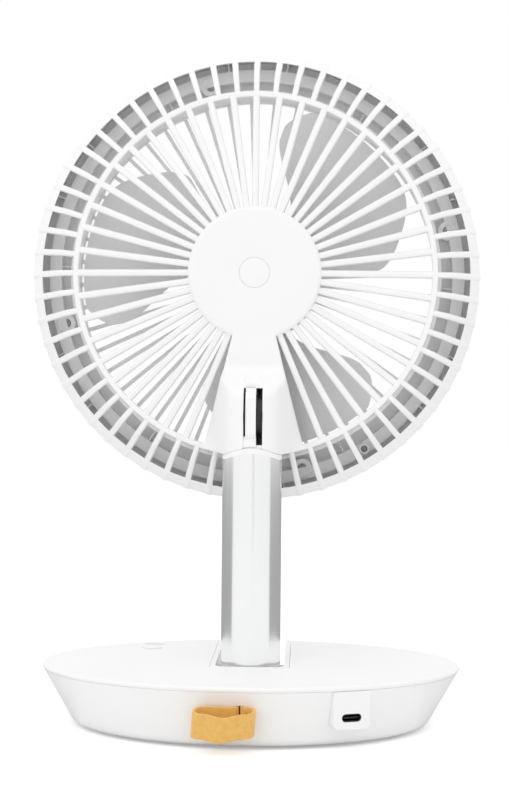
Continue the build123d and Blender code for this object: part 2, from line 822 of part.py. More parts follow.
# Shroud ring: duct around the blades, flange with screw holes, snap tabs and the lock boss
flange_depth = guard_joint_depth + guard_joint_gap
flange_radius = skirt_radius - skirt_wall - 2 * fit
duct_front_depth = front_rim_depth - rib_height - fit
snap_radius = flange_radius - fit
lock_point = polar(lock_screw_circle, lock_screw_angle)
with BuildPart() as shroud_ring:
    with BuildSketch(head_plane):
        with Locations(rim(duct_radius + duct_wall / 2, (duct_rear_depth + duct_front_depth) / 2)):
            Rectangle(duct_wall, duct_front_depth - duct_rear_depth)
        with Locations(rim((duct_radius + flange_radius) / 2, flange_depth + flange_thickness / 2)):
            Rectangle(flange_radius - duct_radius, flange_thickness)
    revolve(axis=head_axis)
    for index in range(snap_count):
        angle = snap_first_angle + 360 / snap_count * index
        with BuildSketch(rear_view(flange_depth)):
            Circle(snap_radius)
            Circle(snap_radius - snap_thickness, mode=Mode.SUBTRACT)
            Polygon(
                (0, 0),
                polar(2 * head_radius, angle - snap_angle / 2),
                polar(2 * head_radius, angle + snap_angle / 2),
                align=None,
                mode=Mode.INTERSECT,
            )
        extrude(amount=snap_height)
    with BuildSketch(rear_view(flange_depth)):
        with Locations(lock_point):
            Circle(lock_boss_radius)
    extrude(amount=lock_boss_height)
    with BuildSketch(rear_view(flange_depth + flange_thickness)):
        with PolarLocations(shroud_screw_circle, shroud_screw_count, shroud_screw_first_angle):
            Circle(shroud_screw_radius + fit)
        with Locations(lock_point):
            Circle(lock_screw_radius + seat)
    extrude(amount=flange_thickness + lock_boss_height, mode=Mode.SUBTRACT)

with BuildPart() as shroud_screws:
    with BuildSketch(rear_view(flange_depth)):
        with PolarLocations(shroud_screw_circle, shroud_screw_count, shroud_screw_first_angle):
            Circle(shroud_screw_head_radius)
    extrude(amount=shroud_screw_head_height)
    with BuildSketch(rear_view(flange_depth)):
        with PolarLocations(shroud_screw_circle, shroud_screw_count, shroud_screw_first_angle):
            Circle(shroud_screw_radius)
    extrude(amount=-shroud_screw_length)

with BuildPart() as lock_screw:
    with BuildSketch(rear_view(flange_depth - lock_boss_height)):
        with Locations(lock_point):
            Circle(lock_screw_head_radius)
    extrude(amount=lock_screw_head_height)
    with BuildSketch(rear_view(flange_depth - lock_boss_height)):
        with Locations(lock_point):
            Circle(lock_screw_radius)
    extrude(amount=-lock_boss_height)

# Front guard: domed ribs, rings and a solid hub on a skirt that meets the rear guard
front_hub_inner = front_hub_radius - hub_wall / 2
front_ring_depth = front_depth - (front_depth - front_rim_depth) * front_ring_radius / rim_opening_radius
with BuildPart() as front_ribs:
    with BuildSketch(head_plane):
        with BuildLine():
            dome = Polyline(
                rim(front_hub_inner, front_depth),
                rim(front_ring_radius, front_ring_depth),
                rim(rim_opening_radius, front_rim_depth),
            )
            shoulder = ThreePointArc(
                dome @ 1,
                rim(
                    rim_opening_radius + quarter * (head_radius - rim_opening_radius),
                    front_rim_depth - (1 - quarter) * front_shoulder_drop,
                ),
                rim(head_radius, front_rim_depth - front_shoulder_drop),
            )
            Polyline(
                shoulder @ 1,
                rim(head_radius, flange_depth),
                rim(skirt_radius - skirt_wall / 2, flange_depth),
                rim(skirt_radius - skirt_wall / 2, front_rim_depth - front_shoulder_drop),
                rim(rim_opening_radius, front_rim_depth - rib_height),
                rim(front_ring_radius, front_ring_depth - rib_height),
                rim(front_hub_inner, front_depth - rib_height),
                dome @ 0,
            )
        make_face()
    revolve(axis=head_axis)
    with BuildSketch(rear_view(front_depth)):
        rib_bars(front_hub_inner, front_ring_radius, rib_angles)
    extrude(amount=front_depth, mode=Mode.INTERSECT)

with BuildPart() as front_guard:
    with BuildSketch(head_plane):
        with BuildLine():
            band = ThreePointArc(
                rim(rim_opening_radius, front_rim_depth - rib_proud),
                rim(
                    rim_opening_radius + quarter * (skirt_radius - rim_opening_radius),
                    front_rim_depth - rib_proud - (1 - quarter) * front_shoulder_drop,
                ),
                rim(skirt_radius, front_rim_depth - rib_proud - front_shoulder_drop),
            )
            Polyline(
                band @ 1,
                rim(skirt_radius, flange_depth),
                rim(skirt_radius - skirt_wall, flange_depth),
                rim(skirt_radius - skirt_wall, front_rim_depth - rib_proud - front_shoulder_drop),
                rim(rim_opening_radius, front_rim_depth - rib_proud - skirt_wall),
                band @ 0,
            )
        make_face()
        with Locations(rim(front_ring_radius, front_ring_depth - rib_height / 2)):
            Rectangle(mid_ring_width, rib_height)
    revolve(axis=head_axis)
    with BuildSketch(rear_view(front_depth)):
        Circle(front_hub_radius)
    extrude(amount=front_hub_thickness)
    with BuildSketch(rear_view(front_depth)):
        Circle(front_plate_radius + seat)
    extrude(amount=front_plate_thickness, mode=Mode.SUBTRACT)
    # Bosses behind the ribs for the screws of the shroud ring
    with BuildSketch(rear_view(flange_depth + flange_thickness)):
        with PolarLocations(shroud_screw_circle, shroud_screw_count, shroud_screw_first_angle):
            Circle(shroud_boss_radius)
    extrude(amount=flange_depth + flange_thickness - front_rim_depth)
    with BuildSketch(rear_view(flange_depth + flange_thickness)):
        with PolarLocations(shroud_screw_circle, shroud_screw_count, shroud_screw_first_angle):
            Circle(shroud_screw_radius + seat)
    extrude(amount=flange_thickness - shroud_screw_length - fit, mode=Mode.SUBTRACT)
    add(front_ribs.part)

# Blank plate in the front hub
with BuildPart() as front_plate:
    with BuildSketch(rear_view(front_depth)):
        Circle(front_plate_radius)
    extrude(amount=front_plate_thickness)

# Motor plate: disc in the hub cup with the bearing tube
plate_front = hub_floor + motor_plate_thickness
tube_front = stator_depth + stator_height + bearing_width
with BuildPart() as motor_plate:
    with BuildSketch(rear_view(plate_front)):
        Circle(hub_radius - hub_wall - fit)
        with PolarLocations(motor_screw_circle, motor_screw_count):
            Circle(motor_screw_radius + fit, mode=Mode.SUBTRACT)
    extrude(amount=motor_plate_thickness)
    for radius, front in (
        (board_boss_radius, plate_front + board_boss_height),
        (stator_shoulder_radius, stator_depth),
        (bearing_tube_radius, tube_front),
    ):
        with BuildSketch(rear_view(front)):
            Circle(radius)
        extrude(amount=front - plate_front)
    with BuildSketch(rear_view(tube_front)):
        Circle(bearing_radius + seat)
    extrude(amount=tube_front - plate_front, mode=Mode.SUBTRACT)

with BuildPart() as motor_screws:
    with BuildSketch(rear_view(plate_front + motor_screw_head_height)):
        with PolarLocations(motor_screw_circle, motor_screw_count):
            Circle(motor_screw_head_radius)
    extrude(amount=motor_screw_head_height)
    with BuildSketch(rear_view(plate_front)):
        with PolarLocations(motor_screw_circle, motor_screw_count):
            Circle(motor_screw_radius)
    extrude(amount=motor_plate_thickness + motor_screw_grip - seat)

# Driver board on the plate's boss
with BuildPart() as motor_board:
    with BuildSketch(rear_view(plate_front + board_boss_height + board_thickness)):
        Circle(board_radius)
        Circle(stator_shoulder_radius + fit, mode=Mode.SUBTRACT)
    extrude(amount=board_thickness)

# Stator: laminated star on the bearing tube, with a coil around each arm
arm_inner = stator_ring_radius - seat
arm_outer = stator_radius - stator_shoe / 2
with BuildPart() as stator_core:
    with BuildSketch(rear_view(stator_depth + stator_height)):
        Circle(stator_radius)
        Circle(stator_radius - stator_shoe, mode=Mode.SUBTRACT)
        with PolarLocations(stator_radius, stator_arms, 180 / stator_arms):
            Rectangle(3 * stator_shoe, stator_slot_width, mode=Mode.SUBTRACT)
        with PolarLocations((arm_inner + arm_outer) / 2, stator_arms):
            Rectangle(arm_outer - arm_inner, stator_arm_width)
        Circle(stator_ring_radius)
        Circle(bearing_tube_radius + seat, mode=Mode.SUBTRACT)
    extrude(amount=stator_height)

coil_inner = stator_ring_radius + coil_end_gap
coil_outer = stator_radius - stator_shoe - coil_end_gap
coil_height = stator_height + 2 * coil_thickness
with BuildPart() as stator_coils:
    with BuildSketch(rear_view(stator_depth + stator_height + coil_thickness)):
        with PolarLocations((coil_inner + coil_outer) / 2, stator_arms):
            Rectangle(coil_outer - coil_inner, stator_arm_width + 2 * coil_thickness)
    extrude(amount=coil_height)
    with BuildSketch(rear_view(stator_depth + stator_height + seat)):
        with PolarLocations((coil_inner + coil_outer) / 2, stator_arms):
            Rectangle(coil_outer - coil_inner, stator_arm_width + 2 * seat)
    extrude(amount=stator_height + 2 * seat, mode=Mode.SUBTRACT)

# Two bearings in the tube
bearing_fronts = (tube_front - bearing_inset, plate_front + bearing_inset + bearing_width)
with BuildPart() as bearings:
    for front in bearing_fronts:
        with BuildSketch(rear_view(front)):
            Circle(bearing_radius)
            Circle(shaft_radius + seat, mode=Mode.SUBTRACT)
        extrude(amount=bearing_width)

# Rotor: can with magnets on the motor shaft
magnet_outer = stator_radius + air_gap + magnet_thickness
can_outer = magnet_outer + seat + can_wall
can_floor = tube_front + end_gap
can_front = can_floor + can_end
shaft_front = can_front + can_boss_height + nut_height + shaft_tip
with BuildPart() as rotor_can:
    with BuildSketch(rear_view(can_front)):
        Circle(can_outer)
    extrude(amount=can_front - can_rear_depth)
    with BuildSketch(rear_view(can_floor)):
        Circle(can_outer - can_wall)
    extrude(amount=can_floor, mode=Mode.SUBTRACT)
    with BuildSketch(rear_view(can_front + can_boss_height)):
        Circle(can_boss_radius)
    extrude(amount=can_boss_height)
    with BuildSketch(rear_view(can_front + can_boss_height)):
        Circle(shaft_radius + seat)
    extrude(amount=can_front + can_boss_height, mode=Mode.SUBTRACT)

with BuildPart() as rotor_magnets:
    with BuildSketch(rear_view(stator_depth + (stator_height + magnet_height) / 2)):
        Circle(magnet_outer)
        Circle(magnet_outer - magnet_thickness, mode=Mode.SUBTRACT)
    extrude(amount=magnet_height)

with BuildPart() as motor_shaft:
    with BuildSketch(rear_view(shaft_front)):
        Circle(shaft_radius)
    extrude(amount=shaft_front - plate_front - end_gap)

# Blade: cambered sheet that flattens towards the tip, cut to its rounded outline
# It is drawn upright, with its leading edge on the left seen from behind
blade_sections = (
    (blade_root_station, blade_root_half_width, blade_root_pitch),
    (blade_middle_station, blade_middle_half_width, blade_middle_pitch),
    (blade_tip_station, blade_tip_half_width, blade_tip_pitch),
)
blade_y = hub_rear_y - blade_depth
with BuildPart() as blade:
    for station, half_width, pitch in blade_sections:
        rise = half_width * tan(radians(pitch))
        with BuildSketch(Plane.XY.offset(head_z + station)):
            with BuildLine():
                rear_face = ThreePointArc(
                    (-half_width, blade_y - rise),
                    (0, blade_y + blade_camber),
                    (half_width, blade_y + rise),
                )
                front_face = ThreePointArc(
                    (half_width, blade_y + rise - blade_thickness),
                    (0, blade_y + blade_camber - blade_thickness),
                    (-half_width, blade_y - rise - blade_thickness),
                )
                Line(rear_face @ 1, front_face @ 0)
                Line(front_face @ 1, rear_face @ 0)
            make_face()
    loft()
    with BuildSketch(rear_view(front_depth)):
        with BuildLine():
            trailing = Line(
                polar(impeller_root_radius, blade_root_trail_angle),
                polar(blade_corner_radius, blade_trail_angle),
            )
            corner = Spline(
                trailing @ 1,
                polar(blade_round_radius, blade_round_angle),
                polar(blade_tip_radius, blade_tip_angle),
                tangents=[trailing % 1, (-1, 0)],
            )
            tip = ThreePointArc(
                corner @ 1,
                polar(blade_tip_radius, blade_tip_middle_angle),
                polar(blade_tip_radius, blade_tip_end_angle),
            )
            nose = Spline(
                tip @ 1,
                polar(blade_lead_radius, blade_lead_angle),
                polar(blade_waist_radius, blade_waist_angle),
                polar(impeller_root_radius, blade_root_lead_angle),
            )
            Line(nose @ 1, trailing @ 0)
        make_face()
    extrude(amount=front_depth, mode=Mode.INTERSECT)

# Impeller: cup over the rotor can with three blades
impeller_bore = can_outer + fit
impeller_radius = impeller_bore + impeller_hub_wall
impeller_floor = can_front + fit
impeller_face = can_front + can_boss_height - seat
with BuildPart() as impeller:
    with BuildSketch(head_plane):
        with BuildLine():
            Polyline(
                rim(impeller_bore, impeller_rear_depth),
                rim(impeller_radius, impeller_rear_depth),
                rim(impeller_radius, impeller_front_depth),
                rim(impeller_radius - impeller_hub_wall / 2, impeller_front_depth),
                rim(impeller_radius - impeller_hub_wall / 2, impeller_face),
                rim(can_boss_radius + fit, impeller_face),
                rim(can_boss_radius + fit, impeller_floor),
                rim(impeller_bore, impeller_floor),
                rim(impeller_bore, impeller_rear_depth),
            )
        make_face()
    revolve(axis=head_axis)
    for index in range(blade_count):
        turn = blade_first_angle - 90 + 360 / blade_count * index
        add(blade.part.rotate(head_axis, turn))
    with BuildSketch(rear_view(front_depth)):
        Circle(impeller_bore)
    extrude(amount=front_depth - impeller_face, mode=Mode.SUBTRACT)

with BuildPart() as impeller_nut:
    with BuildSketch(rear_view(can_front + can_boss_height + nut_height)):
        RegularPolygon(nut_radius, 6)
        Circle(shaft_radius + seat, mode=Mode.SUBTRACT)
    extrude(amount=nut_height)

# Battery: two cells in a tray on each side of the trough
cell_radius = cell_diameter / 2
cell_first_x = fold_pin_half + cell_gap + cell_radius
cell_pitch = cell_diameter + cell_spacing
cell_z = floor_top + tray_floor + cell_radius
with BuildPart() as battery_cells:
    with BuildSketch(Plane.XZ.offset(-cell_y - cell_length / 2)):
        for hand in (-1, 1):
            with Locations((hand * cell_first_x, cell_z), (hand * (cell_first_x + cell_pitch), cell_z)):
                Circle(cell_radius)
    extrude(amount=cell_length)

battery_trays = {}
for side, hand in (("left", 1), ("right", -1)):
    with BuildPart() as tray:
        with BuildSketch(Plane.XY.offset(floor_top)):
            with Locations((hand * (cell_first_x + cell_pitch / 2), cell_y)):
                Rectangle(2 * cell_pitch, tray_length)
        extrude(amount=tray_height)
        with BuildSketch(Plane.XZ.offset(-cell_y - tray_length / 2)):
            with Locations((hand * cell_first_x, cell_z), (hand * (cell_first_x + cell_pitch), cell_z)):
                Circle(cell_radius + seat)
        extrude(amount=tray_length, mode=Mode.SUBTRACT)
    battery_trays[side] = tray

# Control board on the cover's posts, with the switch under the button
with BuildPart() as control_board:
    with BuildSketch(Plane.XY.offset(control_board_top - control_board_thickness)):
        with Locations((button_x, control_board_y)):
            Rectangle(control_board_length, control_board_depth)
        Ellipse(*base_oval(control_board_top, 2 * base_wall), mode=Mode.INTERSECT)
    extrude(amount=control_board_thickness)

with BuildPart() as button_switch:
    with BuildSketch(Plane.XY.offset(control_board_top)):
        with Locations((button_x, button_y)):
            Rectangle(switch_size, switch_size)
    extrude(amount=switch_height)

# Power button: round cap in the cover with a flange under it and a plunger over the switch
with BuildPart() as power_button:
    for radius, bottom, top in (
        (button_radius, cover_bottom - button_flange, base_top + button_proud),
        (button_radius + button_flange, cover_bottom - button_flange, cover_bottom - seat),
        (plunger_radius, cover_bottom - button_flange - plunger_length, cover_bottom),
    ):
        with BuildSketch(Plane.XY.offset(bottom)):
            with Locations((button_x, button_y)):
                Circle(radius)
        extrude(amount=top - bottom)
    fillet(power_button.faces().sort_by(Axis.Z)[-1].edges(), button_proud / 2)

# Light pipe for the charge lights, flush with the cover
lens_bottom = cover_bottom - seat - lens_depth
with BuildPart() as indicator_lens:
    for length, width, bottom, top in (
        (lens_length, lens_width, cover_bottom - seat, base_top),
        (lens_length + 2 * lens_flange, lens_width + 2 * lens_flange, lens_bottom, cover_bottom - seat),
    ):
        with BuildSketch(Plane.XY.offset(bottom)):
            with Locations((button_x, lens_y)):
                SlotOverall(length, width)
        extrude(amount=top - bottom)

# USB-C inlet: flat pad on the rear wall, receptacle in it and its board
socket_bottom = -usb_thickness / 2
with BuildPart() as usb_bezel:
    with BuildSketch(usb_face) as pad:
        with Locations((0, usb_bezel_middle)):
            Rectangle(usb_bezel_width, usb_bezel_height)
        fillet(pad.vertices().group_by(Axis.Y)[0], usb_corner_round)
        SlotOverall(usb_width + 2 * fit, usb_thickness + 2 * fit, mode=Mode.SUBTRACT)
    extrude(amount=-usb_bezel_wall)
    with BuildSketch(usb_face.offset(-usb_bezel_wall)) as pad_wall:
        with Locations((0, usb_bezel_middle)):
            Rectangle(usb_bezel_width, usb_bezel_height)
        fillet(pad_wall.vertices().group_by(Axis.Y)[0], usb_corner_round)
        with Locations((0, usb_bezel_middle)):
            RectangleRounded(
                usb_bezel_width - 2 * usb_bezel_rim,
                usb_bezel_height - 2 * usb_bezel_rim,
                usb_corner_round - usb_bezel_rim,
                mode=Mode.SUBTRACT,
            )
    extrude(amount=usb_bezel_wall - usb_bezel_depth)

with BuildPart() as usb_socket:
    with BuildSketch(usb_face.offset(-usb_recess)):
        SlotOverall(usb_width, usb_thickness)
        SlotOverall(usb_width - 2 * usb_wall, usb_thickness - 2 * usb_wall, mode=Mode.SUBTRACT)
    extrude(amount=-usb_length)
    with BuildSketch(usb_face.offset(-usb_recess - usb_length)):
        SlotOverall(usb_width, usb_thickness)
    extrude(amount=-usb_wall)
    with BuildSketch(usb_face.offset(-usb_recess - usb_length)):
        Rectangle(usb_tongue_width, usb_tongue_thickness)
    extrude(amount=usb_length - usb_recess)

with BuildPart() as usb_board:
    with BuildSketch(usb_face.offset(-usb_bezel_wall - fit)):
        with Locations((0, socket_bottom - usb_board_thickness / 2)):
            Rectangle(usb_board_width, usb_board_thickness)
    extrude(amount=-usb_board_length)

# Webbing loop: one strip that leaves the wall's slot, runs along the wall, turns back and folds home
ply = (strap_thickness + strap_ply_gap) / 2
ply_left = strap_x + ply
ply_right = strap_x - ply
back_y = strap_wall_y + strap_wall_gap + strap_thickness / 2
outer_y = back_y + strap_loop_gap + strap_thickness
turn_radius = (outer_y - back_y) / 2
strap_end_x = strap_x + strap_reach
strap_fold_x = ply_right - strap_bend
bend_start_y = back_y - strap_bend
bend_middle_y = bend_start_y + quarter * strap_bend
droop_start_y = back_y + strap_thickness / 2
droop_end_y = outer_y + strap_thickness / 2
with BuildPart() as strap:
    with BuildSketch(Plane.XY.offset(strap_top - strap_width - strap_droop)):
        with BuildLine():
            Line((ply_left, strap_inner_y), (ply_left, bend_start_y))
            ThreePointArc(
                (ply_left, bend_start_y),
                (ply_left + (1 - quarter) * strap_bend, bend_middle_y),
                (ply_left + strap_bend, back_y),
            )
            Line((ply_left + strap_bend, back_y), (strap_end_x, back_y))
            ThreePointArc(
                (strap_end_x, back_y),
                (strap_end_x + turn_radius, back_y + turn_radius),
                (strap_end_x, outer_y),
            )
            Line((strap_end_x, outer_y), (strap_fold_x, outer_y))
            ThreePointArc(
                (strap_fold_x, outer_y),
                (strap_fold_x - turn_radius, back_y + turn_radius),
                (strap_fold_x, back_y),
            )
            ThreePointArc(
                (strap_fold_x, back_y),
                (ply_right - (1 - quarter) * strap_bend, bend_middle_y),
                (ply_right, bend_start_y),
            )
            Line((ply_right, bend_start_y), (ply_right, strap_inner_y))
        trace(line_width=strap_thickness)
    extrude(amount=strap_width + strap_droop)
    with BuildSketch(Plane.YZ):
        Polygon(
            (strap_inner_y, strap_top),
            (droop_start_y, strap_top),
            (droop_end_y, strap_top - strap_droop),
            (droop_end_y, strap_top - strap_droop - strap_width),
            (droop_start_y, strap_top - strap_width),
            (strap_inner_y, strap_top - strap_width),
            align=None,
        )
    extrude(amount=rim_length, both=True, mode=Mode.INTERSECT)

# Clip that holds the two ends of the webbing behind the wall
with BuildPart() as strap_clip:
    with BuildSketch(Plane.XZ.offset(-strap_inner_y - clip_depth)):
        with Locations((strap_x, strap_top - strap_width / 2)):
            Rectangle(strap_slot_width + 2 * clip_wall, strap_width + 2 * clip_wall)
            Rectangle(strap_slot_width, strap_width + 2 * fit, mode=Mode.SUBTRACT)
    extrude(amount=clip_depth)

pieces = {
    "base_shell": base_shell,
    "base_cover": base_cover,
    "channel_liner": channel_liner,
    "rubber_feet": rubber_feet,
    "base_screws": base_screws,
    "fold_bracket_left": fold_brackets["left"],
    "fold_bracket_right": fold_brackets["right"],
    "fold_pin": fold_pin,
    "fold_washers": fold_washers,
    "battery_cells": battery_cells,
    "battery_tray_left": battery_trays["left"],
    "battery_tray_right": battery_trays["right"],
    "control_board": control_board,
    "button_switch": button_switch,
    "power_button": power_button,
    "indicator_lens": indicator_lens,
    "usb_bezel": usb_bezel,
    "usb_socket": usb_socket,
    "usb_board": usb_board,
    "strap": strap,
    "strap_clip": strap_clip,
    "pole_tube": pole_tube,
    "pole_foot": pole_foot,
    "pole_cap": pole_cap,
    "pole_lead": pole_lead,
    "rear_guard": rear_guard,
    "hub_plug": hub_plug,
    "neck_cover": neck_cover,
    "neck_screws": neck_screws,
    "tilt_pin": tilt_pin,
    "tilt_washers": tilt_washers,
    "shroud_ring": shroud_ring,
    "shroud_screws": shroud_screws,
    "lock_screw": lock_screw,
    "front_guard": front_guard,
    "front_plate": front_plate,
    "motor_plate": motor_plate,
    "motor_screws": motor_screws,
    "motor_board": motor_board,
    "stator_core": stator_core,
    "stator_coils": stator_coils,
    "bearings": bearings,
    "motor_shaft": motor_shaft,
    "rotor_can": rotor_can,
    "rotor_magnets": rotor_magnets,
    "impeller": impeller,
    "impeller_nut": impeller_nut,
}
for name, piece in pieces.items():
    piece.part.label = name
    export_step(piece.part, f"parts/{name}.step")
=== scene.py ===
"""Folding table fan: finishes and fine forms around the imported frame."""

import bmesh
import bpy
import numpy as np
from mathutils import Matrix, Vector


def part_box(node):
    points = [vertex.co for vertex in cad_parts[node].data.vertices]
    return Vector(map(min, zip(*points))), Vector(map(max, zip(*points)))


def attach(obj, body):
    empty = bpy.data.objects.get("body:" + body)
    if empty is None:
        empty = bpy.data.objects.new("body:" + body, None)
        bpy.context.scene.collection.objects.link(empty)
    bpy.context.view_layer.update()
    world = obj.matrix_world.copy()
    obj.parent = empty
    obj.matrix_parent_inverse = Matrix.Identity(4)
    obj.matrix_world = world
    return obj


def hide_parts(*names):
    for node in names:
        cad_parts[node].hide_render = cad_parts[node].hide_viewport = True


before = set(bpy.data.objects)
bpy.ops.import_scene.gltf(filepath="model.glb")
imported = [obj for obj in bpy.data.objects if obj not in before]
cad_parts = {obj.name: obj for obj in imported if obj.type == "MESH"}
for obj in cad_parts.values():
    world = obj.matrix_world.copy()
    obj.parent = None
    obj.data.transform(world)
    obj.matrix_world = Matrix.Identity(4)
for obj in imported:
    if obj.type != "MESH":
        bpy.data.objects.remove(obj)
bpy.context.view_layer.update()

MM = 0.001

# Places and sizes shared with the solids, in millimetres
HUB_REAR_Y = -8.5
HEAD_Z = 212.0
HEAD_RADIUS = 110.0
INNER_RIBS = 48
RIM_RIBS = 60
RIB_HEIGHT = 4.6
MID_RING_RADIUS = 86.6
FRONT_RING_RADIUS = 89.5
MID_RING_WIDTH = 2.6
RIM_OPENING = 104.5
RIM_PROUD = 0.4
SKIRT_RADIUS = 109.6
SKIRT_WALL = 2.4
JOINT_DEPTH = 29.5
FRONT_JOINT_DEPTH = 29.7
FRONT_DEPTH = 48.5
FRONT_RIM_DEPTH = 44.0
TILT_Y = 3.6
TILT_Z = 143.5
POLE_RADIUS = 14.0


# Shapes

WELD_DISTANCE = 1e-6
SHARP_ANGLE = 35.0


def surface(points, closed_u=False, closed_v=False):
    """Points over two parameters as vertices, and the quads between neighbours along both parameters."""
    rows, columns = points.shape[:2]
    u = np.arange(rows if closed_u else rows - 1)[:, None]
    v = np.arange(columns if closed_v else columns - 1)[None, :]
    next_u = (u + 1) % rows
    next_v = (v + 1) % columns
    corners = (u * columns + v, next_u * columns + v, next_u * columns + next_v, u * columns + next_v)
    return points.reshape(-1, 3), np.stack(np.broadcast_arrays(*corners), axis=-1).reshape(-1, 4)


def head_points(radius, angle, depth):
    """Points about the head's axis: radius and angle as seen from behind, depth from the rear face."""
    return np.stack(
        np.broadcast_arrays(-radius * np.cos(angle), HUB_REAR_Y - depth, HEAD_Z + radius * np.sin(angle)),
        axis=-1,
    )


def rounded(corners, radii, steps=3):
    """Outline through corners, each cut by a parabola that begins and ends its radius from the corner."""
    corners = np.asarray(corners, dtype=float)
    radii = np.broadcast_to(np.asarray(radii, dtype=float), len(corners))[:, None]
    back = np.roll(corners, 1, axis=0) - corners
    ahead = np.roll(corners, -1, axis=0) - corners
    start = corners + back / np.linalg.norm(back, axis=1, keepdims=True) * radii
    end = corners + ahead / np.linalg.norm(ahead, axis=1, keepdims=True) * radii
    t = np.linspace(0, 1, steps + 1)[None, :, None]
    arcs = start[:, None] * (1 - t) ** 2 + 2 * corners[:, None] * t * (1 - t) + end[:, None] * t**2
    return arcs.reshape(-1, 2)


def capped(points):
    """A closed section carried along a line, with both ends drawn to their middles."""
    middle = points.mean(axis=1, keepdims=True).repeat(points.shape[1], axis=1)
    return surface(np.concatenate([middle[:1], points, middle[-1:]]), closed_v=True)


def turned(profile, segments=192):
    """A closed profile of radius and depth carried once round the head's axis."""
    angle = np.linspace(0, 2 * np.pi, segments, endpoint=False)[:, None]
    points = head_points(profile[None, :, 0], angle, profile[None, :, 1])
    return surface(points, closed_u=True, closed_v=True)


def pillar(radius, angle, profile):
    """A closed profile of radius and depth turned about a line parallel to the head's axis."""
    turn = np.linspace(0, 2 * np.pi, 48, endpoint=False)[:, None]
    points = head_points(profile[None, :, 0], turn, profile[None, :, 1])
    points[..., [0, 2]] += radius * np.array([-np.cos(angle), np.sin(angle)])
    return surface(points, closed_u=True, closed_v=True)


def head_bar(rear, inner, angle, half):
    """A bar with rounded rear edges: a section carried along two lines of radius and depth at an angle."""
    across = np.array([-1.0, -0.8, -0.35, 0.35, 0.8, 1.0, 1.0, -1.0]) * np.reshape(half, (-1, 1))
    drop = np.array([0.18, 0.055, 0.0, 0.0, 0.055, 0.18, 1.0, 1.0])
    line = rear[:, None] + drop[:, None] * (inner - rear)[:, None]
    points = head_points(line[..., 0], angle, line[..., 1])
    return capped(points + across[..., None] * (np.sin(angle), 0.0, np.cos(angle)))


def soft_max(a, b, reach):
    """The larger of two heights, with a fillet where they are closer than the reach."""
    share = np.clip(0.5 + 0.5 * (a - b) / reach, 0, 1)
    return b + (a - b) * share + reach * share * (1 - share)


def smooth_step(t):
    """Eased share from 0 to 1 with level ends: three t squared less two t cubed."""
    t = np.clip(t, 0, 1)
    return t * t * (3 - 2 * t)


def make_piece(name, surfaces, finish, body, slot, *nodes):
    """One mesh from surfaces in millimetres, welded and turned outwards, that rides on its body."""
    starts = np.cumsum([0] + [len(points) for points, quads in surfaces[:-1]])
    vertices = np.concatenate([points for points, quads in surfaces]) * MM
    quads = np.concatenate([quads + start for (points, quads), start in zip(surfaces, starts)])
    mesh = bpy.data.meshes.new(name)
    mesh.from_pydata(vertices.tolist(), [], quads.tolist())
    form = bmesh.new()
    form.from_mesh(mesh)
    bmesh.ops.remove_doubles(form, verts=form.verts, dist=WELD_DISTANCE)
    bmesh.ops.recalc_face_normals(form, faces=form.faces)
    form.to_mesh(mesh)
    form.free()
    mesh.shade_smooth()
    mesh.set_sharp_from_angle(angle=np.radians(SHARP_ANGLE))
    mesh.materials.append(finish)
    made = bpy.data.objects.new(name, mesh)
    bpy.context.collection.objects.link(made)
    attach(made, body)
    if nodes:
        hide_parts(*nodes)


# Finishes

BUMP_STRENGTH = 0.5
CLOUD_MM = 45.0
MOULDED_SPREAD = 0.06
DRAWN_SPREAD = 0.05
THREAD_MM = 0.6
THREAD_PATCH_MM = 2.5
# A wave texture shows about this many bands in each of its units
BANDS_PER_UNIT = np.pi


def linear(code):
    """Linear colour with alpha from an sRGB hex code."""
    srgb = np.array([int(code[i:i + 2], 16) for i in (0, 2, 4)]) / 255
    value = np.where(srgb <= 0.04045, srgb / 12.92, ((srgb + 0.055) / 1.055) ** 2.4)
    return (*value.tolist(), 1.0)


def add_node(tree, kind, sockets=(), **settings):
    """Add a shader node, set its properties, and fill or link its inputs."""
    made = tree.nodes.new(kind)
    for name, value in settings.items():
        setattr(made, name, value)
    for name, value in dict(sockets).items():
        if isinstance(value, bpy.types.NodeSocket):
            tree.links.new(value, made.inputs[name])
        else:
            made.inputs[name].default_value = value
    return made


def start_finish(name, **sockets):
    """A material with its shader's own sockets set, its node tree and its shader."""
    material = bpy.data.materials.new(name)
    material.use_nodes = True
    tree = material.node_tree
    shader = tree.nodes["Principled BSDF"]
    for socket, value in sockets.items():
        shader.inputs[socket.replace("_", " ")].default_value = value
    return material, tree, shader


def dress(tree, shader, tint, tint_colours, gloss, gloss_range, relief, relief_mm):
    """Link one pattern to the colour, one to the roughness and one to the bump of a shader."""
    ramp = add_node(tree, "ShaderNodeValToRGB", {"Fac": tint})
    ramp.color_ramp.elements[0].color = linear(tint_colours[0])
    ramp.color_ramp.elements[1].color = linear(tint_colours[1])
    tree.links.new(ramp.outputs["Color"], shader.inputs["Base Color"])
    spread = add_node(
        tree, "ShaderNodeMapRange", {"Value": gloss, "To Min": gloss_range[0], "To Max": gloss_range[1]}
    )
    tree.links.new(spread.outputs["Result"], shader.inputs["Roughness"])
    bump = add_node(
        tree, "ShaderNodeBump", {"Height": relief, "Strength": BUMP_STRENGTH, "Distance": relief_mm * MM}
    )
    tree.links.new(bump.outputs["Normal"], shader.inputs["Normal"])


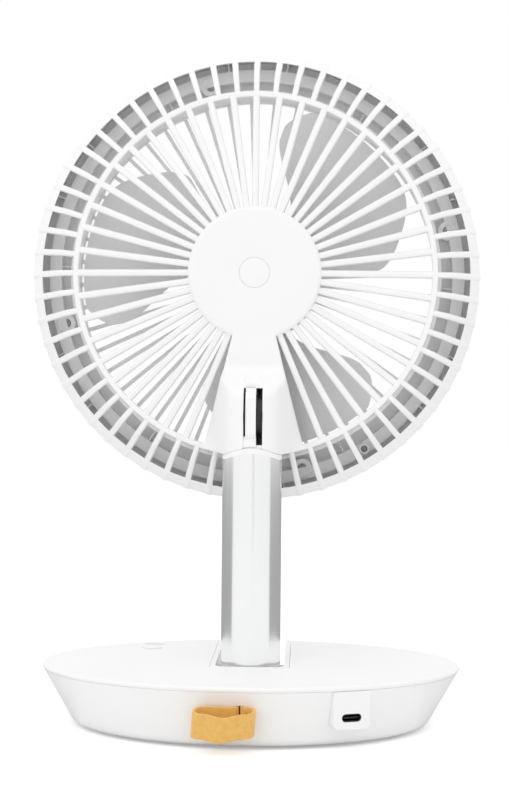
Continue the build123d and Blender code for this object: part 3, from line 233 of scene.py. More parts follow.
def moulded(name, dark, light, roughness, grain_mm, relief_mm):
    """Injection moulded plastic: an even colour with faint flow clouds and a spark-eroded grain, which is
    drawn coarser than the real one because that is too fine to show."""
    material, tree, shader = start_finish(name, IOR=1.5)
    place = add_node(tree, "ShaderNodeTexCoord").outputs["Object"]
    clouds = add_node(
        tree, "ShaderNodeTexNoise", {"Vector": place, "Scale": 1000 / CLOUD_MM, "Detail": 2.0}
    )
    grain = add_node(
        tree, "ShaderNodeTexNoise", {"Vector": place, "Scale": 1000 / grain_mm, "Detail": 3.0}
    )
    dress(
        tree,
        shader,
        clouds.outputs["Fac"],
        (dark, light),
        grain.outputs["Fac"],
        (roughness - MOULDED_SPREAD, roughness + MOULDED_SPREAD),
        grain.outputs["Fac"],
        relief_mm,
    )
    return material


def drawn_metal(name, dark, light, roughness, streak_mm, run_mm, relief_mm):
    """Drawn or turned metal: streaks along Z that are longer than they are wide, drawn coarser than the real
    ones because those are too fine to show."""
    material, tree, shader = start_finish(name, Metallic=1.0)
    place = add_node(tree, "ShaderNodeTexCoord").outputs["Object"]
    along = add_node(
        tree,
        "ShaderNodeMapping",
        {"Vector": place, "Scale": (1000 / streak_mm, 1000 / streak_mm, 1000 / run_mm)},
    )
    streaks = add_node(
        tree, "ShaderNodeTexNoise", {"Vector": along.outputs["Vector"], "Scale": 1.0, "Detail": 3.0}
    )
    dress(
        tree,
        shader,
        streaks.outputs["Fac"],
        (dark, light),
        streaks.outputs["Fac"],
        (roughness - DRAWN_SPREAD, roughness + DRAWN_SPREAD),
        streaks.outputs["Fac"],
        relief_mm,
    )
    return material


def woven(name, dark, light, roughness, relief_mm):
    """Webbing: warp ribs along the tape crossed by weft, each thread rounded and about 0.6 mm wide."""
    material, tree, shader = start_finish(name, Specular_IOR_Level=0.25, Sheen_Weight=0.25)
    flat = add_node(tree, "ShaderNodeUVMap", uv_map="weave").outputs["UV"]
    thread = {"Vector": flat, "Scale": 1000 / THREAD_MM / BANDS_PER_UNIT, "Distortion": 0.4}
    warp = add_node(tree, "ShaderNodeTexWave", thread, bands_direction="X")
    weft = add_node(tree, "ShaderNodeTexWave", thread, bands_direction="Y")
    cross = add_node(
        tree, "ShaderNodeMath", {0: warp.outputs["Fac"], 1: weft.outputs["Fac"]}, operation="MULTIPLY"
    )
    patch = add_node(
        tree, "ShaderNodeTexNoise", {"Vector": flat, "Scale": 1000 / THREAD_PATCH_MM, "Detail": 4.0}
    )
    # Colour rises with the threads: painted highlight on their crossings and painted shade between them,
    # plus random patches of tone
    painted_crossing_light_and_patches = add_node(
        tree,
        "ShaderNodeMath",
        {0: cross.outputs[0], 1: patch.outputs["Fac"]},
        operation="ADD",
        use_clamp=True,
    )
    dress(
        tree,
        shader,
        painted_crossing_light_and_patches.outputs[0],
        (dark, light),
        patch.outputs["Fac"],
        roughness,
        cross.outputs[0],
        relief_mm,
    )
    return material


# Bright satin white with a soft sheen along rounded edges
white_abs = moulded("white_satin_abs", "F7F7F7", "FBFBFB", 0.36, 1.6, 0.02)
# Slightly greyer and duller white, so that the blades stand back behind the ribs
blade_abs = moulded("white_blade_abs", "E6E6E6", "EDEDED", 0.42, 1.6, 0.02)
# Pale dull grey of inner fittings
grey_nylon = moulded("light_grey_nylon", "BEBEBD", "CACAC9", 0.5, 1.2, 0.03)
# Near black with little sheen: the trays, switch and washers are black nylon, and on the USB socket the
# black is painted shade that makes the inlet read as an opening
black_nylon_and_painted_inlet_shade = moulded("black_nylon_and_painted_inlet_shade", "101113", "191A1C", 0.5, 1.2, 0.03)
# Matt black that hardly catches light
black_rubber = moulded("black_rubber", "131314", "1D1D1E", 0.75, 0.9, 0.05)
# Milky pale grey of a light pipe that is off
frosted_lens = moulded("frosted_lens", "C4C8CA", "D2D6D8", 0.45, 0.8, 0.02)
# Smooth glossy blue film
cell_sleeve = moulded("blue_cell_sleeve", "2C4B74", "365985", 0.3, 6.0, 0.02)
# Glossy dark green lacquer
solder_mask = moulded("green_solder_mask", "123F26", "1B5233", 0.3, 2.0, 0.03)
# Dull dark grey with a dry surface
ferrite = moulded("grey_ferrite", "242527", "313235", 0.6, 0.8, 0.03)
# Pale metal whose draw lines pull the room into soft upright bands
anodised_tube = drawn_metal("anodised_aluminium", "F4F5F5", "FBFBFC", 0.17, 0.5, 90.0, 0.004)
# Cool mid grey metal with short turning marks
zinc_steel = drawn_metal("zinc_plated_steel", "8E8F92", "B2B3B5", 0.34, 0.4, 2.0, 0.01)
# Warm red-brown metal under varnish, ribbed by its wires
enamelled_copper = drawn_metal("enamelled_copper", "8A431C", "B4622C", 0.35, 0.45, 30.0, 0.08)
# Dry ochre cloth, with painted highlight on the crossings of its threads and painted shade between them
mustard_webbing = woven("woven_mustard_webbing", "D59D43", "F9C975", (0.75, 0.9), 0.12)

node_finishes = {
    white_abs: (
        "base_shell", "base_cover", "channel_liner", "power_button", "usb_bezel", "pole_foot", "pole_cap",
        "rear_guard", "hub_plug", "neck_cover", "shroud_ring", "front_guard", "front_plate",
    ),
    blade_abs: ("impeller",),
    grey_nylon: ("motor_plate", "strap_clip", "fold_washers"),
    # On usb_socket this black is painted shade inside its inlet, in place of its steel shell
    black_nylon_and_painted_inlet_shade: ("battery_tray_left", "battery_tray_right", "button_switch", "tilt_washers", "usb_socket"),
    black_rubber: ("rubber_feet", "pole_lead"),
    frosted_lens: ("indicator_lens",),
    cell_sleeve: ("battery_cells",),
    solder_mask: ("control_board", "usb_board", "motor_board"),
    ferrite: ("rotor_magnets", "stator_core"),
    anodised_tube: ("pole_tube",),
    zinc_steel: (
        "base_screws", "fold_bracket_left", "fold_bracket_right", "fold_pin", "neck_screws", "tilt_pin",
        "shroud_screws", "lock_screw", "motor_screws", "bearings", "motor_shaft", "rotor_can",
        "impeller_nut",
    ),
    enamelled_copper: ("stator_coils",),
}
for finish, nodes in node_finishes.items():
    for name in nodes:
        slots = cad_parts[name].data.materials
        slots.clear()
        slots.append(finish)


# Guards

RIB_OVERLAP = 0.8
RIB_REACH = (31.0, 87.0)
RIM_REACH = (86.0, 98.0, 110.0)
RIM_HALVES = (1.3, 1.42, 1.6)
MID_RING_EDGE = 0.6
REAR_HALVES = (1.5, 1.6)
FRONT_HALVES = (0.8, 0.9)
# Behind the rear ribs the front ribs show a little to one side of them
FRONT_TURN = np.radians(2.2)


def shoulder(start, edge, drop, lean, way):
    """Line of radius and depth from the rim's opening out to an edge: a parabola with its corner there."""
    t = np.linspace(0, 1, 10)
    radius = start[0] + (edge - start[0]) * (2 * t - t**2)
    depth = start[1] + way * drop * (2 * lean * t * (1 - t) + t**2)
    return np.stack([radius, depth], axis=1)


def guard_ribs(dome, ring, drop, lean, joint, way, angles, halves):
    """Ribs of a guard: inner bars along the dome to the ring, rim bars over the shoulder to the joint."""
    dome = np.asarray(dome)
    under = np.array([0.0, way * RIB_HEIGHT])

    def on_dome(first, last, count):
        """Points of radius and depth on the dome's line, evenly spaced in radius."""
        radii = np.linspace(first, last, count)
        return np.stack([radii, np.interp(radii, dome[:, 0], dome[:, 1])], axis=1)

    inner = on_dome(dome[0, 0], ring + RIB_OVERLAP, 9)
    start = on_dome(ring - RIB_OVERLAP, dome[-1, 0], 9)
    bend = shoulder(dome[-1], HEAD_RADIUS, drop, lean, way)[1:]
    rim = np.concatenate([start, bend, [(HEAD_RADIUS, joint)]])
    wall = SKIRT_RADIUS - SKIRT_WALL / 2
    share = np.linspace(0, 1, len(bend) + 1)[1:, None]
    run = share * (wall - dome[-1, 0], way * (drop - RIB_HEIGHT))
    rim_under = np.concatenate([start + under, dome[-1] + under + run, [(wall, joint)]])
    inner_half = np.interp(inner[:, 0], RIB_REACH, halves)
    rim_half = np.interp(rim[:, 0], RIM_REACH, RIM_HALVES)
    rim_angles = 2 * np.pi / RIM_RIBS * np.arange(RIM_RIBS)
    return [head_bar(inner, inner + under, angle, inner_half) for angle in angles] + [
        head_bar(rim, rim_under, angle, rim_half) for angle in rim_angles
    ]


def guard_rings(mid_radius, mid_depth, start, drop, lean, joint, way):
    """Middle ring with rounded edges, and the shoulder band with its skirt, both turned about the axis."""
    half = MID_RING_WIDTH / 2
    low = mid_depth + way * RIB_HEIGHT
    ring = rounded(
        [
            (mid_radius - half, mid_depth),
            (mid_radius + half, mid_depth),
            (mid_radius + half, low),
            (mid_radius - half, low),
        ],
        MID_RING_EDGE,
    )
    depth = start[1] + way * RIM_PROUD
    outer = shoulder((start[0], depth), SKIRT_RADIUS, drop, lean, way)
    wall = SKIRT_RADIUS - SKIRT_WALL
    back = [
        (SKIRT_RADIUS, joint),
        (wall, joint),
        (wall, depth + way * drop),
        (start[0] + 0.5, depth + way * SKIRT_WALL),
        (start[0], depth + way * (SKIRT_WALL - 0.6)),
        (start[0] - 0.1, depth + way * 0.5),
    ]
    return [turned(ring), turned(np.concatenate([outer, back]))]


NECK_TOP_RADIUS = 28.0
NECK_FRONT_Y = -24.5
NECK_START_RADIUS = 31.0
NECK_START_HALF = 10.7
NECK_FLARE = 0.251
NECK_RING_RADIUS = MID_RING_RADIUS + 0.8
NECK_FILLET = 6.5
PLATEAU_START = 36.0
PLATEAU_RUN = 51.0
PLATEAU_FALL = 6.4
HUB_COVER_RADIUS = 29.0
DRUM_HALF = 13.0
DRUM_EDGE_Y = 5.196
DRUM_SLOPE = 2.5
DRUM_BLEND_START = 13.2
DRUM_BLEND_RUN = 2.0
CROWN_Y = 14.6
CROWN_FALL = 30.0
CROWN_START_Z = 150.0
CROWN_RUN = 22.0
CROWN_FILLET = 3.0
LIP_TOP_Z = 156.5
LIP_FADE = 3.0
BARREL_RADIUS = 17.85
WEB_REAR_Y = -14.5
SLOT_LEFT = 3.9
SLOT_RIGHT = -4.9
SLOT_RADIUS = 18.0


def drum(x):
    """Rear line of the neck's drum across: the pole's round, then its tangent down into the valley."""
    aside = np.abs(x)
    arch = np.sqrt(np.maximum(POLE_RADIUS**2 - aside**2, 0.0))
    return np.where(aside < DRUM_HALF, arch, DRUM_EDGE_Y - DRUM_SLOPE * (aside - DRUM_HALF))


def crown(z):
    """Rear line of the drum's top: level with the drum, then an eased fall onto the neck's plate."""
    return CROWN_Y - CROWN_FALL * smooth_step((z - CROWN_START_Z) / CROWN_RUN)


def beside_drum(x):
    """Eased share from 0 on the drum to 1 beside it."""
    return smooth_step((np.abs(x) - DRUM_BLEND_START) / DRUM_BLEND_RUN)


def neck_foot(x):
    """Height of the middle ring's arc below the hub, where the neck ends beside the drum."""
    return HEAD_Z - np.sqrt(NECK_RING_RADIUS**2 - x**2)


def barrel_half(y, least):
    """Half height of the hinge barrel at a place along Y; its square is never below the least."""
    return np.sqrt(np.maximum(BARREL_RADIUS**2 - (y - TILT_Y) ** 2, least))


def neck():
    """Neck of the rear guard: heights towards the viewer over a wedge, as the soft largest of a falling
    plateau and a drum about the pole, with the hinge slot cut down to a round floor; then round under and
    up the front."""
    bite = np.array([0.0, 0.15, 0.5, 1.1])
    out = np.linspace(0, 1, 19)[1:] ** 0.9
    rows = np.linspace(0, 1, 61)[:, None]
    low = HEAD_Z - NECK_TOP_RADIUS

    def columns(half):
        """Places across the wedge: slot floor, rounded slot edges, runs to both sides, and side walls."""
        left_edge = SLOT_LEFT + bite
        right_edge = SLOT_RIGHT - bite
        left = left_edge[-1] + (half - left_edge[-1]) * out
        right = right_edge[-1] - (half + right_edge[-1]) * out
        one = np.ones_like(half)
        parts = [
            -half,
            right[..., ::-1],
            one * right_edge[::-1],
            one * (SLOT_RIGHT, (SLOT_LEFT + SLOT_RIGHT) / 2, SLOT_LEFT),
            one * left_edge,
            left,
            half,
        ]
        return np.concatenate(parts, axis=-1)

    def half_width(z):
        """Half width of the wedge, which grows evenly with the distance below the hub."""
        return NECK_START_HALF + NECK_FLARE * (HEAD_Z - z - NECK_START_RADIUS)

    # Columns of the slot's floor, and how far the edges of the slot and of the sides are cut down
    count = columns(np.array([[12.0]])).shape[-1]
    side = len(out)
    in_slot = np.zeros(count, dtype=bool)
    in_slot[1 + side + len(bite):1 + side + len(bite) + 3] = True
    lip = np.zeros(count)
    lip[1 + side:1 + side + len(bite)] = [0.0, 0.03, 0.15, 0.45]
    lip[count - 1 - side - len(bite):count - 1 - side] = [0.45, 0.15, 0.03, 0.0]
    rounding = np.zeros(count)
    rounding[1:4] = [1.2, 0.45, 0.1]
    rounding[-4:-1] = [0.1, 0.45, 1.2]

    def bottom(x):
        """Lower edge: the hinge round under the drum, the middle ring beside it."""
        under = TILT_Z - barrel_half(np.maximum(drum(x), -8.0), 1.0)
        return under + (neck_foot(x) - under) * beside_drum(x)

    # The width follows the height and the lower edge follows the width, so both settle in a few turns
    x = columns(half_width(np.full((1, 1), 126.0)))
    z = low + (bottom(x) - low) * rows
    for _ in range(3):
        x = columns(half_width(z.mean(axis=1, keepdims=True)))
        z = low + (bottom(x) - low) * rows
    radius = HEAD_Z - z
    plateau = HUB_REAR_Y - PLATEAU_FALL * smooth_step((radius - PLATEAU_START) / PLATEAU_RUN) + 0.004
    plateau = np.where(radius < HUB_COVER_RADIUS, HUB_REAR_Y - 0.02, plateau)
    heap = -soft_max(-drum(x), -crown(z), CROWN_FILLET)
    height = soft_max(plateau, heap, NECK_FILLET) - rounding
    reach = np.clip(z - TILT_Z, 0, SLOT_RADIUS)
    floor = np.where(z < TILT_Z, WEB_REAR_Y, TILT_Y - np.sqrt(SLOT_RADIUS**2 - reach**2))
    floor = np.where(z > TILT_Z + SLOT_RADIUS, height, np.minimum(floor, height))
    cut = np.clip((height - floor.min(axis=1, keepdims=True)) / 2.0, 0, 1)
    cut = cut * smooth_step((LIP_TOP_Z - z) / LIP_FADE)
    height = np.where(in_slot, floor, height - lip * cut)
    height[:, [0, -1]] = NECK_FRONT_Y
    sheet = np.stack([x, height, z], axis=-1)
    last = sheet[-1:]
    inside = 1 - beside_drum(last[..., 0])
    share = np.linspace(0, 1, 9)[1:, None]
    under_y = last[..., 1] + (np.minimum(WEB_REAR_Y + 0.7, last[..., 1]) - last[..., 1]) * share
    around = TILT_Z - barrel_half(under_y, 0.0)
    under_z = last[..., 2] + (around - last[..., 2]) * inside * ~in_slot
    under = np.stack([np.broadcast_to(last[..., 0], under_y.shape), under_y, under_z], axis=-1)
    ring_z = neck_foot(last[..., 0])
    foot = np.stack([last[..., 0], np.minimum(last[..., 1], WEB_REAR_Y), ring_z], axis=-1)
    toe = np.stack([last[..., 0], np.full_like(ring_z, NECK_FRONT_Y), ring_z], axis=-1)
    front = sheet[::-12].copy()
    front[..., 1] = NECK_FRONT_Y
    return surface(np.concatenate([sheet, under, foot, toe, front]), closed_u=True)


REAR_DROP = 7.0
REAR_LEAN = 0.86
FRONT_DROP = 5.6
FRONT_LEAN = 0.0
MID_RING_DEPTH = 7.0
rear_dome = [(31.0, 1.7), (MID_RING_RADIUS, MID_RING_DEPTH), (95.0, 8.5), (RIM_OPENING, 18.0)]
rib_angles = 2 * np.pi / INNER_RIBS * np.arange(INNER_RIBS)
rear_angles = rib_angles[np.abs(np.degrees(rib_angles) - 270.0) > 17.0]
front_angles = rib_angles + FRONT_TURN
hub_profile = np.array(
    [
        (0.0, 0.45), (7.3, 0.45), (7.32, 0.12), (7.4, 0.03), (7.6, 0.0), (29.6, 0.0), (30.5, 0.12),
        (31.3, 0.5), (31.8, 1.1), (32.0, 1.9), (32.0, 15.5), (30.0, 15.5), (30.0, 2.4), (0.0, 2.4),
    ]
)
make_piece(
    "rear_guard_moulding",
    guard_ribs(rear_dome, MID_RING_RADIUS, REAR_DROP, REAR_LEAN, JOINT_DEPTH, 1, rear_angles, REAR_HALVES)
    + guard_rings(MID_RING_RADIUS, MID_RING_DEPTH, rear_dome[-1], REAR_DROP, REAR_LEAN, JOINT_DEPTH, 1)
    + [turned(hub_profile), neck()],
    white_abs,
    "head",
    "white_plastic",
    "rear_guard",
)
plug_profile = np.array([(0.0, 0.0), (6.95, 0.0), (7.12, 0.03), (7.2, 0.12), (7.2, 1.1), (0.0, 1.1)])
make_piece("hub_plug_cap", [turned(plug_profile, 96)], white_abs, "head", "white_plastic", "hub_plug")

front_mid = FRONT_DEPTH - (FRONT_DEPTH - FRONT_RIM_DEPTH) * FRONT_RING_RADIUS / RIM_OPENING
front_dome = [(30.0, FRONT_DEPTH), (FRONT_RING_RADIUS, front_mid), (RIM_OPENING, FRONT_RIM_DEPTH)]
front_hub_profile = np.array(
    [
        (0.0, 47.0), (26.05, 47.0), (26.1, 48.2), (26.4, 48.5), (30.0, 48.5), (30.7, 48.3), (31.0, 47.6),
        (31.0, 44.5), (0.0, 44.5),
    ]
)
SCREW_CIRCLE = 97.0
screw_angles = np.radians(14.0 + 90.0 * np.arange(4))
front_boss_profile = np.array([(0.0, 38.4), (3.6, 38.4), (3.6, 44.0), (3.2, 44.4), (0.0, 44.4)])
make_piece(
    "front_guard_moulding",
    guard_ribs(
        front_dome,
        FRONT_RING_RADIUS,
        FRONT_DROP,
        FRONT_LEAN,
        FRONT_JOINT_DEPTH,
        -1,
        front_angles,
        FRONT_HALVES,
    )
    + guard_rings(
        FRONT_RING_RADIUS,
        front_mid,
        front_dome[-1],
        FRONT_DROP,
        FRONT_LEAN,
        FRONT_JOINT_DEPTH,
        -1,
    )
    + [turned(front_hub_profile)]
    + [pillar(SCREW_CIRCLE, angle, front_boss_profile) for angle in screw_angles],
    white_abs,
    "head",
    "white_plastic",
    "front_guard",
)


# Shroud between the guards

FLANGE_DEPTH = 29.7
SEAT_DEPTH = 31.0
LOCK_SEAT_DEPTH = 27.6
LOCK_CIRCLE = 100.0
lock_angle = np.radians(-57.4)


def screw(radius, angle, depth, head, height, shank, length):
    """A pan-head screw along the head's axis: a domed crown with a pressed cross, its side and its shank."""
    share = np.linspace(0, 0.92, 14)
    across = np.concatenate([head * share, [head, head, shank, shank, 0.0]])[:, None]
    dome = height * (1 - 0.3 * share**2)
    level = np.concatenate([dome, [0.6 * height, 0.0, 0.0, -length, -length]])[:, None]
    turn = np.linspace(0, 2 * np.pi, 64, endpoint=False)
    u = across * np.cos(turn)
    v = across * np.sin(turn)

    def arm(a, b):
        """Share of a cross arm: 1 within its width and length, eased to 0 at its sides and end."""
        wide = smooth_step((0.17 * head - np.abs(a)) / (0.08 * head))
        return wide * smooth_step((0.62 * head - np.abs(b)) / 0.3)

    level = level - 0.5 * height * np.maximum(arm(u, v), arm(v, u)) * (level > 0.65 * height)
    points = head_points(radius, angle, depth - level)
    points[..., 0] += u
    points[..., 2] += v
    return surface(points, closed_v=True)


shroud_profile = rounded(
    [
        (88.5, 18.5), (90.5, 18.5), (90.5, 37.2), (96.7, 37.2), (96.7, FLANGE_DEPTH), (102.8, FLANGE_DEPTH),
        (102.8, 36.0), (106.9, 36.0), (106.9, 37.4), (101.0, 37.4), (101.0, 38.6), (90.5, 38.6),
        (90.5, 39.25), (88.5, 39.25),
    ],
    (0.5, 0.5, 0.3, 0.3, 0.4, 0.4, 0.3, 0.2, 0.2, 0.2, 0.2, 0.2, 0.2, 0.3),
)
boss_profile = np.array(
    [
        (0.0, SEAT_DEPTH), (2.25, SEAT_DEPTH), (2.25, 29.6), (2.45, 29.3), (4.4, 29.3), (4.8, 29.7),
        (4.8, 37.3), (0.0, 37.3),
    ]
)
lock_profile = np.array(
    [
        (0.0, LOCK_SEAT_DEPTH), (1.6, LOCK_SEAT_DEPTH), (1.6, 25.5), (1.85, 25.2), (2.4, 25.2), (2.6, 25.5),
        (2.6, 30.0), (0.0, 30.0),
    ]
)
stiffener_angles = np.radians(57.0 + 60.0 * np.arange(6))
snap_angles = np.radians(np.add.outer(30.0 + 60.0 * np.arange(6), (-8.0, 8.0)).ravel())
stiffener = np.array([(90.3, 32.0), (97.0, 32.0)]), np.array([(90.3, 37.4), (97.0, 37.4)])
snap_wall = np.array([(102.6, 27.2), (106.8, 27.2)]), np.array([(102.6, 36.2), (106.8, 36.2)])
make_piece(
    "shroud_moulding",
    [turned(shroud_profile), pillar(LOCK_CIRCLE, lock_angle, lock_profile)]
    + [pillar(SCREW_CIRCLE, angle, boss_profile) for angle in screw_angles]
    + [head_bar(*stiffener, angle, 0.6) for angle in stiffener_angles]
    + [head_bar(*snap_wall, angle, 0.45) for angle in snap_angles],
    white_abs,
    "head",
    "white_plastic",
    "shroud_ring",
)
make_piece(
    "shroud_screw_heads",
    [screw(SCREW_CIRCLE, angle, SEAT_DEPTH, 2.05, 1.1, 1.25, 5.0) for angle in screw_angles],
    zinc_steel,
    "head",
    "steel",
    "shroud_screws",
)
make_piece(
    "lock_screw_head",
    [screw(LOCK_CIRCLE, lock_angle, LOCK_SEAT_DEPTH, 1.5, 0.9, 0.9, 2.0)],
    zinc_steel,
    "head",
    "steel",
    "lock_screw",
)


# Hinge on the pole

HINGE_GAP = 0.04


def hinge_band(section, start, end):
    """A closed section of place across and radius, carried about the tilt axis between two angles above the
    rear, and held under the drum's rear face and crown."""
    angle = np.radians(np.linspace(start, end, 30))[:, None]
    x = np.broadcast_to(section[:, 0], (len(angle), len(section)))
    y = TILT_Y + section[:, 1] * np.cos(angle)
    z = TILT_Z + section[:, 1] * np.sin(angle)
    return capped(np.stack([x, np.minimum(y, np.minimum(drum(x), crown(z)) - HINGE_GAP), z], axis=-1))


KNUCKLE_LEFT = 2.9
KNUCKLE_RIGHT = -1.9
KNUCKLE_RADIUS = 13.3
SKIN_OUT = 0.3
SKIN_IN = 0.4
GROOVE_DEPTH = 0.22
GROOVE_WIDTH = 0.11
groove_places = np.array([-0.9, 0.1, 1.1, 2.1])
skin_places = np.linspace(KNUCKLE_LEFT, KNUCKLE_RIGHT, 49)
grooves = np.exp(-(((skin_places[:, None] - groove_places) / GROOVE_WIDTH) ** 2)).sum(axis=1)
skin = np.stack([skin_places, KNUCKLE_RADIUS + SKIN_OUT - GROOVE_DEPTH * grooves], axis=1)
skin_under = KNUCKLE_RADIUS - SKIN_IN
skin = np.concatenate([skin, [(KNUCKLE_RIGHT, skin_under), (KNUCKLE_LEFT, skin_under)]])


def slot_block(left, right, inner, outer):
    """Section of a block that fills the hinge slot from one side to the other between two radii."""
    return rounded([(left, inner), (left, outer), (right, outer), (right, inner)], 0.05)


make_piece(
    "hinge_knuckle_cap",
    [
        hinge_band(skin, -62.0, 70.0),
        hinge_band(slot_block(KNUCKLE_LEFT, KNUCKLE_RIGHT, 12.4, 17.9), 36.0, 60.0),
        hinge_band(slot_block(SLOT_LEFT - HINGE_GAP, SLOT_RIGHT + HINGE_GAP, 15.5, 17.9), 58.4, 97.0),
        hinge_band(slot_block(SLOT_LEFT - HINGE_GAP, KNUCKLE_RIGHT - 0.1, 12.4, 17.4), -76.0, -48.5),
        hinge_band(slot_block(KNUCKLE_RIGHT, SLOT_RIGHT + HINGE_GAP, 15.5, 17.4), -76.0, -59.1),
    ],
    white_abs,
    "pole",
    "white_plastic",
)


# Webbing loop

STRAP_WIDTH = 11.6
STRAP_THICK = 1.4
STRAP_TOP = 20.0
STRAP_DROOP = 1.8
STRAP_BOW = 2.4
STRAP_SAG = 1.2
STRAP_LEAN = 0.13
STRAP_TIP = np.radians(13.0)
STRAP_TURN = 3.95
STRAP_BEND = 1.7
STRAP_FAR = 17.4
STRAP_NEAR = -0.45
STRAP_OUT_X = 3.15
STRAP_HOME_X = 1.25
STRAP_INSIDE = 12.1
SELVEDGE = 0.55
STRAP_SHARP_ANGLE = 50.0
strap_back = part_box("strap")[1][1] / MM - 2 * STRAP_TURN - STRAP_THICK / 2


def strap_line():
    """Middle line of the webbing from above: out of the slot, along the wall, round, back in a bow, in."""
    quarter = np.linspace(0, np.pi / 2, 7)
    half = np.linspace(0, np.pi, 17)
    front = np.linspace(0, 1, 25)
    bend_y = strap_back - STRAP_BEND
    turn_y = strap_back + STRAP_TURN
    inner_y = strap_back - STRAP_INSIDE
    wall_x = STRAP_OUT_X + STRAP_BEND
    runs = [
        (np.full(6, STRAP_OUT_X), np.linspace(inner_y, bend_y, 6)),
        (wall_x - STRAP_BEND * np.cos(quarter), bend_y + STRAP_BEND * np.sin(quarter)),
        (np.linspace(wall_x, STRAP_FAR, 16), np.full(16, strap_back)),
        (STRAP_FAR + STRAP_TURN * np.sin(half), turn_y - STRAP_TURN * np.cos(half)),
        (
            STRAP_FAR + (STRAP_NEAR - STRAP_FAR) * front,
            turn_y + STRAP_TURN + STRAP_BOW * np.sin(np.pi * front) ** 2,
        ),
        (STRAP_NEAR - STRAP_TURN * np.sin(half), turn_y + STRAP_TURN * np.cos(half)),
        (STRAP_NEAR + STRAP_BEND * np.sin(quarter), bend_y + STRAP_BEND * np.cos(quarter)),
        (np.full(6, STRAP_HOME_X), np.linspace(bend_y, inner_y, 6)),
    ]
    line = np.concatenate([np.stack(run, axis=1) for run in runs])
    apart = np.linalg.norm(np.diff(line, axis=0), axis=1) > 1e-6
    return line[np.concatenate([[True], apart])]


def make_strap():
    """Flat band carried along its line, with rounded selvedges; off the wall it droops, sags and leans."""
    line = strap_line()
    ahead = np.gradient(line, axis=0)
    ahead /= np.linalg.norm(ahead, axis=1, keepdims=True)
    side = np.stack([-ahead[:, 1], ahead[:, 0]], axis=1)
    half_width = STRAP_WIDTH / 2
    half_thick = STRAP_THICK / 2
    corners = np.array([(-1, -1), (1, -1), (1, 1), (-1, 1)]) * (half_width, half_thick)
    band = rounded(corners, SELVEDGE)
    fill = np.linspace(-half_width + SELVEDGE, half_width - SELVEDGE, 9)[1:-1]
    inner_face = np.stack([fill, np.full_like(fill, -half_thick)], axis=1)
    outer_face = np.stack([fill[::-1], np.full_like(fill, half_thick)], axis=1)
    band = np.concatenate([band[:4], inner_face, band[4:12], outer_face, band[12:]])
    out = np.clip((line[:, 1] - strap_back) / (2 * STRAP_TURN), 0, 1)
    bowed = np.clip((line[:, 1] - strap_back - 2 * STRAP_TURN) / STRAP_BOW, 0, 1)
    sag = STRAP_DROOP * out + STRAP_SAG * bowed
    steps = np.linalg.norm(np.diff(np.column_stack([line, sag]), axis=0), axis=1)
    length = np.concatenate([[0], np.cumsum(steps)])
    place = line[:, None, :] + side[:, None, :] * band[None, :, 1:]
    height = STRAP_TOP - half_width - sag[:, None] + band[None, :, 0]
    points = np.concatenate([place, height[..., None]], axis=-1)
    points[..., 0] += STRAP_LEAN * out[:, None] * (STRAP_TOP - height)
    below = STRAP_TOP - STRAP_DROOP * out[:, None] - height
    tip = STRAP_TIP * np.clip((line[:, 1, None] - strap_back) / STRAP_BEND + 1.0, 0, 1)
    tip = tip * (0.45 + 0.55 * out[:, None])
    points[..., 1] -= below * np.sin(tip)
    points[..., 2] += below * (1 - np.cos(tip))
    vertices, quads = surface(points, closed_v=True)
    rim = np.arange(len(band))
    mesh = bpy.data.meshes.new("webbing_loop")
    ends = [rim[::-1].tolist(), (rim + len(band) * (len(line) - 1)).tolist()]
    mesh.from_pydata((vertices * MM).tolist(), [], quads.tolist() + ends)
    form = bmesh.new()
    form.from_mesh(mesh)
    bmesh.ops.recalc_face_normals(form, faces=form.faces)
    form.to_mesh(mesh)
    form.free()
    weave = mesh.uv_layers.new(name="weave")
    corner = np.zeros(len(mesh.loops), dtype=np.int32)
    mesh.loops.foreach_get("vertex_index", corner)
    flat = np.stack(np.broadcast_arrays(length[:, None], band[None, :, 0]), axis=-1).reshape(-1, 2) * MM
    weave.data.foreach_set("uv", flat[corner].astype(np.float32).ravel())
    mesh.shade_smooth()
    mesh.set_sharp_from_angle(angle=np.radians(STRAP_SHARP_ANGLE))
    mesh.materials.append(mustard_webbing)
    made = bpy.data.objects.new("webbing_loop", mesh)
    bpy.context.collection.objects.link(made)
    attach(made, "base")
    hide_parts("strap")


make_strap()


# Stage, in metres: white floor, grey cards, white surroundings, two soft lamps and the photograph's view

FLOOR_HALF = 4.0
FLOOR_GLOW = 0.3
DIFFUSE_LEVEL = 0.92
LAMP_AIM = Vector((0, 0, 0.15))
CAMERA_PLACE = Vector((-0.02535, 0.7685, 0.1492))
CAMERA_YAW = np.radians(1.81)
CAMERA_PITCH = np.radians(-0.147)
CAMERA_ROLL = np.radians(0.5)


def make_stage():
    """A wide pale floor under the fan that takes its shadow."""
    half = FLOOR_HALF
    mesh = bpy.data.meshes.new("floor")
    mesh.from_pydata(
        [(-half, -half, 0), (half, -half, 0), (half, half, 0), (-half, half, 0)], [], [(0, 1, 2, 3)]
    )
    floor = bpy.data.objects.new("floor", mesh)
    bpy.context.collection.objects.link(floor)
    # Matt white that takes a soft shadow and gives no gloss
    paper, tree, shader = start_finish(
        "white_paper",
        Base_Color=linear("F8F8F8"),
        Roughness=0.9,
        Specular_IOR_Level=0.1,
        Emission_Color=(1, 1, 1, 1),
    )
    path = add_node(tree, "ShaderNodeLightPath")
    glow = add_node(
        tree, "ShaderNodeMath", {0: path.outputs["Is Camera Ray"], 1: FLOOR_GLOW}, operation="MULTIPLY"
    )
    tree.links.new(glow.outputs[0], shader.inputs["Emission Strength"])
    mesh.materials.append(paper)


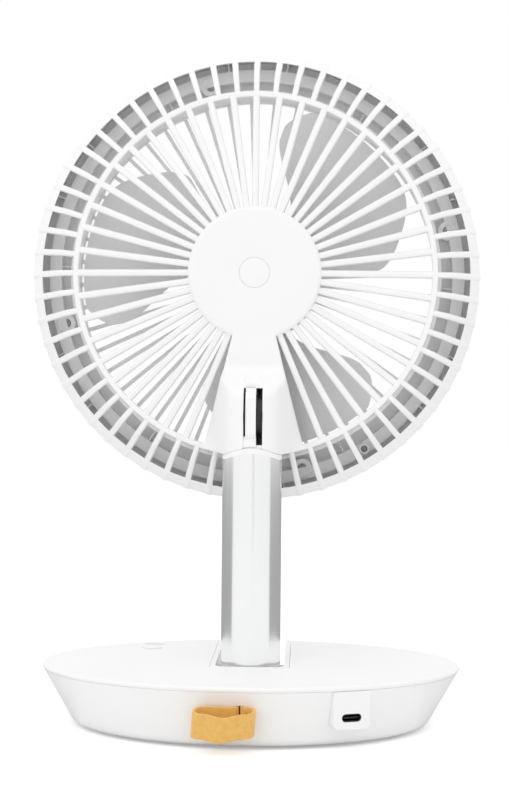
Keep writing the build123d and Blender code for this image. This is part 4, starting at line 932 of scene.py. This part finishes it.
def make_cards():
    """Grey studio cards that gloss alone sees: a sector of the floor and a strip behind the camera, each
    an arc about Z between two radii and two heights."""
    # Even mid grey that shows as a soft darker band in gloss
    card = start_finish(
        "grey_card",
        Base_Color=(0, 0, 0, 1),
        Roughness=1.0,
        Specular_IOR_Level=0.0,
        Emission_Color=linear("AAAAAA"),
        Emission_Strength=1.0,
    )[0]
    for name, turn, reach, level in (
        ("floor_card", (76.0, 284.0), (0.03, 3.9), (0.0005, 0.0005)),
        ("strip_card", (-7.5, -4.5), (1.5, 1.5), (0.0, 1.2)),
    ):
        angle = np.radians(np.linspace(*turn, 33))[:, None]
        across = np.array([reach])
        points = np.stack(
            np.broadcast_arrays(across * np.sin(angle), across * np.cos(angle), np.array([level])), axis=-1
        )
        vertices, quads = surface(points)
        mesh = bpy.data.meshes.new(name)
        mesh.from_pydata(vertices.tolist(), [], quads.tolist())
        mesh.materials.append(card)
        made = bpy.data.objects.new(name, mesh)
        bpy.context.collection.objects.link(made)
        made.visible_camera = False
        made.visible_diffuse = False
        made.visible_transmission = False
        made.visible_shadow = False


def make_light():
    """White surroundings, at one for what the camera and gloss see and less for diffuse light, and two area
    lamps."""
    world = bpy.data.worlds.new("white_surroundings")
    bpy.context.scene.world = world
    world.use_nodes = True
    tree = world.node_tree
    path = add_node(tree, "ShaderNodeLightPath")
    seen = add_node(
        tree,
        "ShaderNodeMath",
        {0: path.outputs["Is Camera Ray"], 1: path.outputs["Is Glossy Ray"]},
        operation="MAXIMUM",
    )
    seen = add_node(
        tree,
        "ShaderNodeMath",
        {0: seen.outputs[0], 1: path.outputs["Is Transmission Ray"]},
        operation="MAXIMUM",
    )
    strength = add_node(
        tree, "ShaderNodeMapRange", {"Value": seen.outputs[0], "To Min": DIFFUSE_LEVEL, "To Max": 1.0}
    )
    tree.links.new(strength.outputs["Result"], tree.nodes["Background"].inputs["Strength"])
    tree.nodes["Background"].inputs["Color"].default_value = (1, 1, 1, 1)
    for name, place, size, power in (
        ("top_lamp", (0.15, 0.5, 1.7), 1.2, 3.0),
        ("key_lamp", (0.9, 1.5, 1.4), 1.4, 2.0),
    ):
        data = bpy.data.lights.new(name, "AREA")
        data.size = size
        data.energy = power
        lamp = bpy.data.objects.new(name, data)
        lamp.location = place
        lamp.rotation_euler = (LAMP_AIM - Vector(place)).to_track_quat("-Z", "Y").to_euler()
        bpy.context.collection.objects.link(lamp)


def make_camera():
    """The photograph's view: behind the fan, a little to its left, with a long lens."""
    level = np.cos(CAMERA_PITCH)
    ahead = Vector((np.sin(CAMERA_YAW) * level, -np.cos(CAMERA_YAW) * level, -np.sin(CAMERA_PITCH)))
    right = ahead.cross(Vector((0, 0, 1))).normalized()
    up = right.cross(ahead)
    axes = Matrix((right, up, -ahead)).transposed() @ Matrix.Rotation(CAMERA_ROLL, 3, "Z")
    data = bpy.data.cameras.new("photo_view")
    data.sensor_width = 36.0
    data.lens = 73.42
    camera = bpy.data.objects.new("photo_view", data)
    camera.matrix_world = Matrix.Translation(CAMERA_PLACE) @ axes.to_4x4()
    bpy.context.collection.objects.link(camera)
    bpy.context.scene.camera = camera


make_stage()
make_cards()
make_light()
make_camera()
bpy.context.scene.view_settings.view_transform = "Standard"
